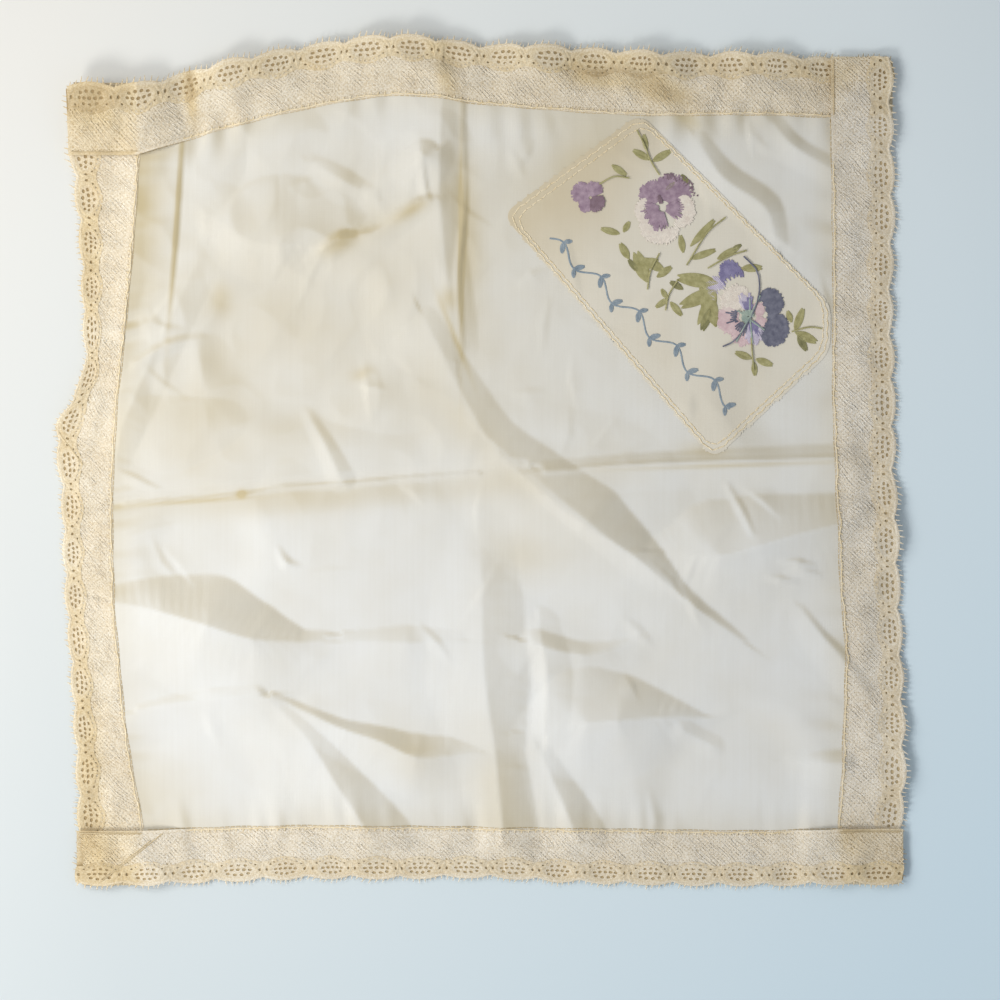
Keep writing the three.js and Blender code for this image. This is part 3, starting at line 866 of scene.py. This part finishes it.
def ranged(tree, value, low, high, to_low=0.0, to_high=1.0):
    ramp = node(tree, "ShaderNodeMapRange")
    for name, number in (("From Min", low), ("From Max", high), ("To Min", to_low), ("To Max", to_high)):
        ramp.inputs[name].default_value = number
    tree.links.new(value, ramp.inputs["Value"])
    return ramp.outputs["Result"]


def attribute(tree, name):
    return node(tree, "ShaderNodeAttribute", attribute_name=name).outputs["Fac"]


def bumped(tree, shader, height, distance, strength):
    bump = node(tree, "ShaderNodeBump")
    bump.inputs["Distance"].default_value = distance * MM
    bump.inputs["Strength"].default_value = strength
    tree.links.new(height, bump.inputs["Height"])
    tree.links.new(bump.outputs["Normal"], shader.inputs["Normal"])


def material_of(name, roughness, sheen):
    material = bpy.data.materials.new(name)
    material.use_nodes = True
    tree = material.node_tree
    shader = tree.nodes["Principled BSDF"]
    shader.inputs["Roughness"].default_value = roughness
    shader.inputs["Sheen Weight"].default_value = sheen
    shader.inputs["Specular IOR Level"].default_value = 0.25
    return material, tree, shader


def weave_height(tree, thread, run):
    """Over and under of a plain weave: uneven fine threads along each axis."""
    total = node(tree, "ShaderNodeMath", operation="ADD")
    for stretch, socket in zip(((thread, run, run), (run, thread, run)), total.inputs):
        tree.links.new(noise_at(tree, stretch, 1.0), socket)
    return total.outputs["Value"]


def linen_material(name, clean, stain_and_shade_colour, alpha):
    """Fine plain weave with slubs, cloudy yellowing, and the stains and painted shade held in the stain and
    shade values.
    """
    material, tree, shader = material_of(name, 0.62, 0.15)
    shader.inputs["Alpha"].default_value = alpha
    slubs = ranged(tree, noise_at(tree, (1.1, 45, 30)), 0.35, 0.75)
    clouds = ranged(tree, noise_at(tree, (26, 26, 26), 5.0), 0.35, 0.75, 0.0, 0.18)
    marks_and_shade = node(tree, "ShaderNodeMath", operation="ADD", use_clamp=True)
    tree.links.new(attribute(tree, "stain_and_shade"), marks_and_shade.inputs[0])
    tree.links.new(clouds, marks_and_shade.inputs[1])
    colour = mixed(tree, marks_and_shade.outputs["Value"], clean, stain_and_shade_colour)
    streaked = mixed(tree, slubs, colour, srgb(214, 207, 190), "MULTIPLY")
    tree.links.new(mixed(tree, 0.06, colour, streaked), shader.inputs["Base Color"])
    bumped(tree, shader, weave_height(tree, 0.5, 9), 0.06, 0.3)
    return material


def lace_material():
    """Cotton, pale in the net, tan where it is worked close and deep tan where its tone carries age or
    painted shade, as sheer as its cover values say.
    """
    material, tree, shader = material_of("lace_cotton", 0.85, 0.2)
    tree.links.new(attribute(tree, "cover"), shader.inputs["Alpha"])
    clouds = ranged(tree, noise_at(tree, (12, 12, 12), 4.0), 0.3, 0.7)
    fibres = noise_at(tree, (0.5, 0.5, 0.5), 2.0)
    net = mixed(tree, clouds, srgb(250, 245, 234), srgb(252, 250, 244))
    close = mixed(tree, clouds, srgb(231, 213, 174), srgb(242, 229, 198))
    tone = attribute(tree, "tone")
    # Tone past 1 goes to deep tan: age, and painted shade in the lace's fold patches, doubled corners and
    # under the eyelets
    deep_tan_and_shade = mixed(tree, ranged(tree, tone, 1.0, 2.0), close, srgb(184, 162, 122))
    colour = mixed(tree, ranged(tree, tone, 0.0, 1.0), net, deep_tan_and_shade)
    shaded = mixed(tree, ranged(tree, fibres, 0.3, 0.7), srgb(226, 216, 198), (1, 1, 1, 1))
    tree.links.new(mixed(tree, 1.0, colour, shaded, "MULTIPLY"), shader.inputs["Base Color"])
    bumped(tree, shader, fibres, 0.2, 0.5)
    return material


def floss_material(name, pale, deep):
    """Stranded silk thread that varies from stitch to stitch."""
    material, tree, shader = material_of("floss_" + name, 0.5, 0.2)
    change = ranged(tree, noise_at(tree, (1.6, 1.6, 1.6), 2.0), 0.3, 0.7)
    tree.links.new(mixed(tree, change, deep, pale), shader.inputs["Base Color"])
    bumped(tree, shader, noise_at(tree, (0.25, 0.25, 0.25), 1.0), 0.08, 0.5)
    return material


def slanted_share(tree, turn, start, end):
    """Share from 0 to 1 across the object, along its x axis turned clockwise."""
    place = node(tree, "ShaderNodeTexCoord")
    mapping = node(tree, "ShaderNodeMapping")
    mapping.inputs["Rotation"].default_value = (0, 0, math.radians(turn))
    split = node(tree, "ShaderNodeSeparateXYZ")
    tree.links.new(place.outputs["Object"], mapping.inputs["Vector"])
    tree.links.new(mapping.outputs["Vector"], split.inputs["Vector"])
    return ranged(tree, split.outputs["X"], start * MM, end * MM)


def floor_material():
    """Pale board with painted light: cooler towards its lower right and brighter towards its upper right."""
    material, tree, shader = material_of("pale_floor", 0.8, 0.0)
    painted_cool = slanted_share(tree, *FLOOR_PAINTED_COOL)
    painted_bright = slanted_share(tree, *FLOOR_PAINTED_BRIGHT)
    board = mixed(tree, painted_cool, srgb(249, 249, 245), srgb(222, 243, 255))
    toned = mixed(tree, painted_bright, srgb(226, 226, 226), (1, 1, 1, 1))
    tree.links.new(mixed(tree, 1.0, board, toned, "MULTIPLY"), shader.inputs["Base Color"])
    return material


# The cloth and the panel

def stain_and_shade_values(stain_and_shade_marks, x, y):
    total = np.zeros_like(x)
    for stain_and_shade in stain_and_shade_marks:
        turn = math.radians(stain_and_shade.turn)
        along_mark = (x - stain_and_shade.x) * math.cos(turn) + (y - stain_and_shade.y) * math.sin(turn)
        across_mark = (y - stain_and_shade.y) * math.cos(turn) - (x - stain_and_shade.x) * math.sin(turn)
        distance = np.hypot(along_mark / stain_and_shade.long, across_mark / stain_and_shade.wide)
        total += stain_and_shade.strength * np.exp(-distance * distance)
    return total


def painted_turned_shade(heights):
    """Painted shade: a warmer tone on the cloth's faces that turn away from the lower left, where the lamps
    stand.
    """
    climb_up, climb_across = np.gradient(heights.reshape(CLOTH_CELLS + 1, -1), CLOTH_SIDE / CLOTH_CELLS)
    away = -(climb_across + climb_up) / math.sqrt(2)
    return PAINTED_SHADE_TINT * np.clip(away / PAINTED_SHADE_SLOPE, 0, 1).ravel()


def make_cloth(material):
    """The square of cloth, with its window cut along the panel's outline."""
    at = np.linspace(-HALF, HALF, CLOTH_CELLS + 1)
    u, v = (axis.ravel() for axis in np.meshgrid(at, at))
    x, y = laid_place(u, v)
    opening = panel_outline(0)
    x, y = snapped(opening, x, y, SNAP_SHARE * CLOTH_SIDE / CLOTH_CELLS)
    points = points_at(x, y)
    heights = points[:, 2]
    faces = grid_faces(CLOTH_CELLS, CLOTH_CELLS)
    middles = points[faces].mean(axis=1)
    faces = faces[~is_inside(opening, middles[:, 0], middles[:, 1])]
    points, faces, used = without_loose(points, faces)
    piece = mesh_piece("cloth_sheet", points, faces, material, "linen")
    edge = np.exp(-((HALF - np.maximum(np.abs(u), np.abs(v))) / HEM_STAIN_REACH) ** 2)
    # Stains and the hem's yellowing, with painted shade: thin crease lines from the table and a warm tint on
    # faces turned from the lamps
    stain_and_shade = stain_and_shade_values(STAINS_AND_CREASE_SHADE, x, y) + HEM_STAIN * edge + painted_turned_shade(heights)
    set_values(piece, "stain_and_shade", stain_and_shade[used])
    return piece


def make_panel(material):
    """The embroidered panel's ground, lapped over the edge of the window."""
    outline = panel_outline(PANEL_OVERLAP)
    low, high = outline.min(axis=0) - PANEL_CELL, outline.max(axis=0) + PANEL_CELL
    columns, rows = np.ceil((high - low) / PANEL_CELL).astype(int)
    across, up = (start + PANEL_CELL * np.arange(count + 1) for start, count in zip(low, (columns, rows)))
    x, y = np.meshgrid(across, up)
    x, y = snapped(outline, x.ravel(), y.ravel(), SNAP_SHARE * PANEL_CELL)
    faces = grid_faces(columns, rows)
    faces = faces[is_inside(outline, x[faces].mean(axis=1), y[faces].mean(axis=1))]
    points, faces, _ = without_loose(points_at(x, y, PANEL_RISE), faces)
    piece = mesh_piece("panel_sheet", points, faces, material, "panel_linen")
    upper_left = smoothstep(points[:, 1] - points[:, 0], 20, 75)
    set_values(piece, "stain_and_shade", PANEL_STAIN_LEAST + PANEL_STAIN_MORE * upper_left)
    return piece


# The lace

def overlap_rise(side, along_edge):
    top = HALF - CORNER_MARGIN
    past_start = smoothstep(-along_edge, top - CORNER_RAMP, top)
    past_end = smoothstep(along_edge, top - CORNER_RAMP, top)
    return CORNER_CLEARANCE * (side.over_start * past_start + side.over_end * past_end)


def lace_span(quarter):
    """Where one length of lace starts and ends along its side, corners included."""
    before = SIDES[quarter - 1].rows[-1].reach
    after = SIDES[(quarter + 1) % len(SIDES)].rows[0].reach
    return -HALF - before + PICOT_ROOM, HALF + after - PICOT_ROOM


def lace_points(quarter, along_edge, depth, raised):
    """Lace pattern points on the laid lace; depth runs from 0 at the hem to LACE_WIDTH at the free edge."""
    side = SIDES[quarter]
    reach = along(side.rows, "reach", along_edge) - PICOT_ROOM - GAP
    outward = HALF + GAP + depth / LACE_WIDTH * reach
    u, v = turned(along_edge, outward, quarter)
    return laid_points(u, v, raised + overlap_rise(side, along_edge))


def net_pattern(start, end, lean, chance):
    """Uneven slanting net: points along and out, their rise and tone, and faces round each hole."""
    half_along, half_out = NET_PITCH_ALONG / 2, NET_PITCH_OUT / 2
    columns = int((end - start) / NET_PITCH_ALONG) - 1
    rows = int(NET_DEPTH / NET_PITCH_OUT)
    even = np.stack(np.meshgrid(2 * np.arange(columns) + 1, 2 * np.arange(rows) + 1), axis=-1).reshape(-1, 2)
    centres = np.concatenate([even, even + 1])
    way = np.array([(1, 0), (0, 1), (-1, 0), (0, -1)])
    corners, index = np.unique((centres[:, None] + way).reshape(-1, 2), axis=0, return_inverse=True)
    index = index.reshape(-1, 4)
    thickness = 1 + NET_UNEVEN * ripple(*centres.T.astype(float), 9, 33)
    opened = chance.uniform(*NET_OPEN, len(centres))
    main, cross = 1 - 2 * NET_THREAD_MAIN * thickness, 1 - 2 * NET_THREAD_CROSS * thickness
    wide, narrow = main + cross, lean * (main - cross)
    inner = np.stack([wide, narrow, narrow, wide], axis=1).reshape(-1, 2, 2) / 2 * opened[:, None, None]
    holes = (centres[:, None] + np.concatenate([inner, -inner], axis=1)).reshape(-1, 2)
    hole_index = len(corners) + np.arange(len(holes)).reshape(-1, 4)
    after = np.roll(np.arange(4), -1)
    faces = np.stack([index, index[:, after], hole_index[:, after], hole_index], axis=-1).reshape(-1, 4)
    corners = corners + chance.uniform(-NET_SHAKE, NET_SHAKE, corners.shape)
    places = np.concatenate([corners, holes]) * (half_along, half_out) + (start, 0)
    rise = np.concatenate([np.full(len(corners), NET_ROOF), np.zeros(len(holes))])
    return places[:, 0], places[:, 1], rise, np.full(len(places), NET_TONE), faces


def scallop_eyelets():
    """Eyelets of one scallop: three rows in the medallion, a row along its inner side and one at each end."""
    outer = [Eyelet(a, 0.72 - 1.5 * a * a, 0.6, 0.46) for a in np.linspace(-0.19, 0.19, 4)]
    middle = [Eyelet(a, 0.5, 0.6, 0.46) for a in np.linspace(-0.22, 0.22, 5)]
    inner = [Eyelet(a, 0.3 + 1.2 * a * a, 0.55, 0.42) for a in np.linspace(-0.13, 0.13, 3)]
    edge = [Eyelet(a, 0.1 + 1.1 * a * a, 0.42, 0.36) for a in np.linspace(-0.33, 0.33, 8)]
    return outer + middle + inner + edge + [Eyelet(a, 0.5, 0.45, 0.7) for a in (-0.42, 0.42)]


def scallop_tile(pitch, depth):
    """One scallop's grid, shares along and across: a medallion with eyelets in a close raised border."""
    a, r = np.meshgrid(np.linspace(-0.5, 0.5, BAND_COLUMNS + 1), np.linspace(0, 1, BAND_ROWS + 1))
    a, r = a.ravel(), r.ravel()
    faces = grid_faces(BAND_COLUMNS, BAND_ROWS)
    keep = np.ones(len(faces), bool)
    medallion = np.hypot(a * pitch / MEDALLION_LONG, (r - 0.5) * depth / MEDALLION_WIDE)
    ring = np.exp(-((medallion - 1.15) / 0.2) ** 2)
    twist = 0.5 + 0.5 * np.cos(2 * np.pi * (2.6 * np.abs(a) * pitch / depth + 1.4 * r))
    border = np.exp(-((r - 0.93) / 0.06) ** 2)
    twisted = 0.7 * twist * smoothstep(medallion, 1.2, 1.5)
    rise = GIMP_RISE * np.maximum(np.maximum(0.6 * ring, border), twisted)
    tone = 0.35 + 0.2 * smoothstep(medallion, 0.85, 1.1) - 0.3 * border
    for eyelet in scallop_eyelets():
        off_a = (a - eyelet.along) * pitch / eyelet.half_long
        off_r = (r - eyelet.across) * depth / eyelet.half_wide
        distance = np.hypot(off_a, off_r)
        move = (distance > 0.55) & (distance < 1.4)
        a = np.where(move, eyelet.along + (a - eyelet.along) / np.maximum(distance, 1e-9), a)
        r = np.where(move, eyelet.across + (r - eyelet.across) / np.maximum(distance, 1e-9), r)
        keep &= distance[faces].max(axis=1) > 1.4
    return a, r, rise, tone, faces[keep]


def band_pattern(start, end):
    """The scalloped band along the free edge: points along and out, rise, tone and faces."""
    pitch = (end - start) / SCALLOPS_PER_SIDE
    a, r, rise, tone, faces = scallop_tile(pitch, LACE_WIDTH - BAND_START)
    shift = np.arange(SCALLOPS_PER_SIDE)[:, None]
    along_edge = start + (shift + 0.5 + a) * pitch
    lobe = np.abs(np.cos(np.pi * a))
    inner = BAND_START - BAND_WAVE * np.cos(2 * np.pi * a)
    outer = LACE_WIDTH - SCALLOP_DEPTH * (1 - lobe)
    depth = inner + (outer - inner) * r
    repeated = [np.tile(values, SCALLOPS_PER_SIDE) for values in (depth, rise + NET_ROOF, tone)]
    return along_edge.ravel(), *repeated, (faces[None] + shift[:, :, None] * len(a)).reshape(-1, 4)


def short_threads(starts, ends, half_widths, tone):
    """Short roof-shaped threads with three half widths: points along and out, rise, tone and faces."""
    way = ends - starts
    side = np.stack([-way[:, 1], way[:, 0]], axis=1) / np.hypot(way[:, 0], way[:, 1])[:, None]
    steps = np.array([0, 0.5, 1])[:, None, None]
    across = (np.array(half_widths)[:, None] * np.array([1, 0, -1]))[:, :, None]
    places = starts[:, None, None] + way[:, None, None] * steps + side[:, None, None] * across
    rise = np.broadcast_to(NET_ROOF + THREAD_ROOF * np.array([0, 1, 0]), places.shape[:-1])
    first = np.arange(len(starts))[:, None] * 9 + np.array([0, 1, 3, 4])
    faces = np.stack([first, first + 3, first + 4, first + 1], axis=-1).reshape(-1, 4)
    return places[..., 0].ravel(), places[..., 1].ravel(), rise.ravel(), np.full(rise.size, tone), faces


def picot_pattern(start, end, chance):
    """Little pointed loops along the scallops."""
    count = int((end - start) / PICOT_PITCH)
    part = (np.arange(count) + 0.5) / count
    edge = LACE_WIDTH - SCALLOP_DEPTH * (1 - np.abs(np.sin(np.pi * SCALLOPS_PER_SIDE * part))) - PICOT_ROOT
    starts = np.stack([start + part * (end - start), edge], axis=1)
    lean = PICOT_LEAN + chance.uniform(-PICOT_SHAKE, PICOT_SHAKE, count)
    ends = starts + np.stack([lean, PICOT_LENGTH * chance.uniform(0.75, 1.25, count)], axis=1)
    return short_threads(starts, ends, PICOT_WIDTH * np.array([0.5, 0.38, 0.14]), PICOT_TONE)


def stroke_pattern(start, end, lean, chance):
    """Slanting threads that stand out of the net, in uneven drifts."""
    at = chance.uniform(start + STROKE_INSET, end - STROKE_INSET, STROKES_PER_SIDE)
    depth = chance.uniform(STROKE_MARGIN, NET_DEPTH - STROKE_MARGIN, STROKES_PER_SIDE)
    middle = np.stack([at, depth], axis=1)
    drift = ripple(*middle.T, 13, 35) + 1.6 * corner_share(middle[:, 0])
    middle = middle[drift > chance.uniform(-1.6, 1.2, STROKES_PER_SIDE)]
    half = chance.uniform(*STROKE_HALF, len(middle))[:, None] * np.array([1, -lean])
    return short_threads(middle - half, middle + half, STROKE_WIDTH * np.array([0.2, 0.5, 0.2]), 0)


def ground_pattern(start, end):
    """The sheer ground, closest at hem and band and painted a deep tan under the band as shade for the
    eyelets: points along and out, cover, tone and faces.
    """
    columns = int((end - start) / GROUND_CELL)
    at, depth = np.meshgrid(
        np.linspace(start, end, columns + 1), np.linspace(-HEM_LAP, GROUND_WIDTH, GROUND_ROWS + 1),
    )
    at, depth = at.ravel(), depth.ravel()
    footing = FOOTING_WIDTH * (1 + 0.2 * ripple(at, np.zeros_like(at), 12, 31))
    on_footing = (1 - smoothstep(depth, footing - 1.5, footing + 1)) * (1 - corner_share(at))
    under_band = smoothstep(depth, BAND_START - 1, BAND_START + 1)
    cover = NET_COVER + (FOOTING_COVER - NET_COVER) * np.maximum(on_footing, under_band)
    # Painted shade: deep tan under the band for the eyelets, and darker doubled corners
    tone = NET_TONE + EYELET_SHADE_TONE * under_band + CORNER_TONE * corner_share(at)
    return at, depth, cover, tone, grid_faces(columns, GROUND_ROWS)


def corner_share(at):
    """How far a place along the lace is into a doubled corner."""
    return smoothstep(np.abs(at), HALF - 1, HALF + 2)


def lace_tone(quarter, at, tone, points):
    """Tan of the lace: deeper in the corners, where it is doubled and painted shade is added, in patches of
    painted fold shade and closer work, and on the sides that have aged most.
    """
    marks_and_shade = stain_and_shade_values(LACE_SHADE_MARKS, points[:, 0], points[:, 1])
    return np.clip(tone + LACE_AGE[quarter] + CORNER_DOUBLING_AND_SHADE * corner_share(at) + marks_and_shade, 0, 2)


def make_ground(quarter, material):
    """The sheer sheet of one length of lace."""
    at, depth, cover, tone, faces = ground_pattern(*lace_span(quarter))
    points = lace_points(quarter, at, depth, np.where(depth < 0, HEM_LAP_RISE, 0.0))
    piece = mesh_piece(SIDES[quarter].name + "_ground", points, faces, material, "lace")
    set_values(piece, "tone", lace_tone(quarter, at, tone, points))
    set_values(piece, "cover", cover)
    return piece


def make_lace(quarter, material):
    """The worked threads of one length of lace: net, slanting strokes, scalloped band and picots."""
    start, end = lace_span(quarter)
    chance = np.random.default_rng(40 + quarter)
    lean = -1 if quarter % 2 else 1
    patterns = [
        net_pattern(start, end, lean, chance), stroke_pattern(start, end, lean, chance),
        band_pattern(start, end), picot_pattern(start, end, chance),
    ]
    parts, tones = [], []
    for at, depth, rise, tone, faces in patterns:
        uneven = THREAD_WANDER * ripple(at, depth, 15, 60 + quarter)
        points = lace_points(quarter, at + uneven, depth, THREAD_LEVEL + rise)
        parts.append((points, faces))
        tones.append(lace_tone(quarter, at, tone, points))
    points, faces = joined(parts)
    piece = mesh_piece(SIDES[quarter].name + "_threads", points, faces, material, "lace")
    set_values(piece, "tone", np.concatenate(tones))
    set_values(piece, "cover", np.full(len(points), THREAD_COVER))
    return piece


# Sewing

def seam_cord():
    """A thin cord laid along the hem on all four sides."""
    paths = []
    for quarter in range(len(SIDES)):
        along_edge = np.linspace(-HALF, HALF, CORD_STEPS)
        outward = HALF + CORD_OUT + CORD_WANDER * ripple(along_edge, 0 * along_edge, 6, 20 + quarter)
        u, v = turned(along_edge, outward, quarter)
        paths.append(laid_points(u, v, CORD_LEVEL))
    return np.stack(paths)


def corner_edges():
    """The turned-in edges of lace that lies over a neighbour's end, and the lace's sharp creases."""
    paths = []
    for quarter, side in enumerate(SIDES):
        start, end = lace_span(quarter)
        at_start, at_end = (start + END_INSET, -HALF), (HALF, end - END_INSET)
        for is_over, ends in ((side.over_start, at_start), (side.over_end, at_end)):
            if is_over:
                depth = np.full(EDGE_STEPS, EDGE_DEPTH)
                paths.append(lace_points(quarter, np.linspace(*ends, EDGE_STEPS), depth, EDGE_LEVEL))
    for quarter, *ends in LACE_CREASES:
        along_edge, depth = (np.linspace(*pair, EDGE_STEPS) for pair in ends)
        paths.append(lace_points(quarter, along_edge, depth, CREASE_LEVEL))
    return np.stack(paths)


def seam_ticks():
    """Short stitches that catch the cord down."""
    paths = []
    for quarter in range(len(SIDES)):
        part = np.linspace(0, 1, 3)
        along_edge = np.arange(-HALF + END_INSET, HALF - END_INSET, TICK_PITCH)[:, None] + TICK_LEAN * part
        outward = HALF - CORD_OUT + TICK_LENGTH * np.broadcast_to(part, along_edge.shape)
        u, v = turned(along_edge, outward, quarter)
        paths.append(laid_points(u, v, TICK_LEVEL))
    return np.concatenate(paths)


def hem_stitches():
    """A running stitch just inside the cord."""
    paths = []
    for quarter in range(len(SIDES)):
        starts = np.arange(-HALF + END_INSET, HALF - 2 * END_INSET, RUNNING_PITCH)[:, None]
        along_edge = starts + RUNNING_LENGTH * np.linspace(0, 1, 3)
        wander = RUNNING_WANDER * np.sin(along_edge / RUNNING_WAVE + quarter)
        u, v = turned(along_edge, HALF - RUNNING_INSET + wander, quarter)
        paths.append(laid_points(u, v, RUNNING_LEVEL))
    return np.concatenate(paths)


def panel_stitches(row):
    """Stitches along the panel's outline, each turned by a slant to its side."""
    border = evenly_spaced(panel_outline(-row.inset), row.length + row.gap, closed=True)
    way = np.roll(border, -1, axis=0) - border
    way /= np.hypot(way[:, 0], way[:, 1])[:, None]
    side = np.stack([-way[:, 1], way[:, 0]], axis=1)
    lean = row.slant * np.where(np.arange(len(border)) % 2, 1, -1)[:, None] * side
    return stitch_paths(border - lean, border + way * row.length + lean, PANEL_RISE + STITCH_LEVEL)


def make_sewing(cream, tan):
    """The cord and its ticks; the running stitch, lace edges and creases; the panel's border."""
    seam = joined([ribbons(seam_cord(), *CORD_FORM), ribbons(seam_ticks(), *TICK_FORM)])
    hem = joined([ribbons(hem_stitches(), *RUNNING_FORM), ribbons(corner_edges(), *EDGE_FORM)])
    border = joined([ribbons(panel_stitches(row), SEWING_WIDTH, THREAD_RISE) for row in PANEL_ROWS])
    return [
        mesh_piece("seam_stitches", *seam, cream, "lace"),
        mesh_piece("hem_stitches", *hem, tan, "linen"),
        mesh_piece("panel_stitches", *border, cream, "panel_linen"),
    ]


# Embroidery

def petal_stitches(centre, petal, chance):
    """Straight stitches that fan out from a flower's centre to a rounded, ragged edge."""
    part = np.linspace(-1, 1, petal.count)
    angle = np.radians(petal.heading + petal.spread * part)
    rounded = 1 - PETAL_ROUNDING * np.abs(part) ** 2.2
    outer = petal.outer * rounded * (1 - petal.ragged * chance.random(petal.count))
    inner = petal.inner * (1 + 0.2 * chance.random(petal.count))
    way = np.stack([np.cos(angle), np.sin(angle)], axis=1)
    return centre + way * inner[:, None], centre + way * np.maximum(outer, inner + 0.5)[:, None]


def leaf_stitches(leaf):
    """Slanting stitches from a leaf's middle line to both of its edges."""
    heading = math.radians(leaf.heading)
    way = np.array([math.cos(heading), math.sin(heading)])
    side = np.array([-math.sin(heading), math.cos(heading)])
    part = np.linspace(0.04, 0.9, max(6, round(leaf.length / LEAF_PITCH)))
    half = leaf.width / 2 * np.sin(np.pi * part ** 0.8) ** 0.7
    base = np.array([leaf.x, leaf.y]) + way * (part * leaf.length)[:, None]
    edge = way * (LEAF_SLANT * leaf.length) + np.zeros_like(base)
    starts = np.concatenate([base, base])
    ends = np.concatenate([base + edge + side * half[:, None], base + edge - side * half[:, None]])
    return starts, ends


def stem_path(points, raised):
    table = np.array(points, float)
    places = np.concatenate([[0], np.cumsum(np.hypot(*np.diff(table, axis=0).T))])
    at = np.linspace(0, places[-1], STEM_STEPS)
    x, y = (smooth_curve(places, column, at) for column in table.T)
    return points_at(x, y, raised)[None]


def vine_parts():
    """The trailing stem as one path, and its leaves."""
    start, end = np.array(VINE_START, float), np.array(VINE_END, float)
    length = np.hypot(*(end - start))
    way = (end - start) / length
    side = np.array([-way[1], way[0]])
    at = np.linspace(0, length, VINE_STEPS)
    wave = VINE_WAVE * np.sin(2 * np.pi * at / VINE_PITCH)
    path = start + way * at[:, None] + side * wave[:, None]
    heading = math.degrees(math.atan2(way[1], way[0]))
    leaves = []
    for i, place in enumerate(np.arange(VINE_PITCH / 4, length, VINE_PITCH / 2)):
        x, y = start + way * place + side * VINE_WAVE * math.sin(2 * math.pi * place / VINE_PITCH)
        turn = VINE_TURN if i % 2 else -VINE_TURN
        leaves.append(Leaf(x, y, heading + turn, VINE_LEAF, VINE_LEAF_WIDTH))
        pair_heading = heading - turn * VINE_PAIR_TURN
        leaves.append(Leaf(x, y, pair_heading, VINE_LEAF * VINE_PAIR_SHARE, VINE_PAIR_WIDTH))
    return points_at(path[:, 0], path[:, 1], PANEL_RISE + STITCH_LEVEL)[None], leaves


def floss_parts(name, chance):
    """All threads of one colour."""
    raised = PANEL_RISE + FLOSS_LEVEL
    vine_path, vine_leaves = vine_parts()
    parts = []
    for centre, petal in PETALS.get(name, []):
        starts, ends = petal_stitches(np.array(centre, float), petal, chance)
        paths = stitch_paths(starts, ends, raised + FLOSS_LAYER * petal.layer)
        parts.append(ribbons(paths, FLOSS_WIDTH, THREAD_RISE))
    for leaf in vine_leaves if name == "vine" else LEAVES.get(name, []):
        parts.append(ribbons(stitch_paths(*leaf_stitches(leaf), raised), FLOSS_WIDTH, THREAD_RISE))
    for points in STEMS.get(name, []):
        parts.append(ribbons(stem_path(points, raised + STEM_LEVEL), FLOSS_WIDTH, THREAD_RISE))
    if name == "vine":
        parts.append(ribbons(vine_path, VINE_WIDTH, THREAD_RISE))
    return parts


def make_embroidery():
    pieces = []
    for i, (name, (pale, deep)) in enumerate(FLOSS.items()):
        points, faces = joined(floss_parts(name, np.random.default_rng(80 + i)))
        material = floss_material(name, srgb(*pale), srgb(*deep))
        pieces.append(mesh_piece("floss_" + name, points, faces, material, "panel_linen"))
    return pieces


# Stage, light and camera

def make_floor():
    half = FLOOR_HALF * MM
    mesh = bpy.data.meshes.new("floor")
    corners = [(-half, -half, 0), (half, -half, 0), (half, half, 0), (-half, half, 0)]
    mesh.from_pydata(corners, [], [(0, 1, 2, 3)])
    mesh.materials.append(floor_material())
    floor = bpy.data.objects.new("floor", mesh)
    bpy.context.scene.collection.objects.link(floor)


def make_light(form):
    data = bpy.data.lights.new(form.name, "AREA")
    data.shape = "DISK"
    data.size = form.size
    data.energy = form.power
    data.color = form.colour
    light = bpy.data.objects.new(form.name, data)
    light.location = form.place
    light.rotation_euler = (-Vector(form.place)).to_track_quat("-Z", "Y").to_euler()
    bpy.context.scene.collection.objects.link(light)


def make_world():
    world = bpy.data.worlds.new("soft_room")
    world.use_nodes = True
    background = world.node_tree.nodes["Background"]
    background.inputs["Color"].default_value = ROOM_COLOUR
    background.inputs["Strength"].default_value = ROOM_STRENGTH
    bpy.context.scene.world = world


def make_camera():
    data = bpy.data.cameras.new("camera")
    data.sensor_width = SENSOR
    data.lens = SENSOR * CAMERA_HEIGHT / PHOTO_SIDE
    camera = bpy.data.objects.new("camera", data)
    x, y = (np.array(PHOTO_MIDDLE) + PATTERN_ORIGIN[:2]) * MM
    camera.location = (x, y, CAMERA_HEIGHT * MM)
    bpy.context.scene.collection.objects.link(camera)
    bpy.context.scene.camera = camera


# Where the flat pattern's middle lies in the frame, from the panel's box
panel_box = np.array([list(corner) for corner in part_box("panel")]) / MM
PATTERN_ORIGIN = np.zeros(3)
panel_middle = (panel_outline(0).min(axis=0) + panel_outline(0).max(axis=0)) / 2
PATTERN_ORIGIN[:2] = panel_box.mean(axis=0)[:2] - panel_middle

linen = linen_material("linen", srgb(241, 242, 240), srgb(214, 199, 160), 0.9)
panel_linen = linen_material("panel_linen", srgb(239, 235, 223), srgb(210, 192, 152), 0.92)
cotton = lace_material()
cream_thread = floss_material("cream_sewing", srgb(246, 234, 206), srgb(228, 208, 166))
tan_thread = floss_material("tan_sewing", srgb(212, 194, 156), srgb(190, 170, 132))

cloth = make_cloth(linen)
panel = make_panel(panel_linen)
grounds = [make_ground(quarter, cotton) for quarter in range(len(SIDES))]
laces = [make_lace(quarter, cotton) for quarter in range(len(SIDES))]
sewing = make_sewing(cream_thread, tan_thread)
embroidery = make_embroidery()

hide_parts("cloth")
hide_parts("panel")
for ground, side in zip(grounds, SIDES):
    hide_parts(side.name)

make_floor()
make_world()
for form in LIGHTS:
    make_light(form)
make_camera()
bpy.context.scene.view_settings.view_transform = "Standard"
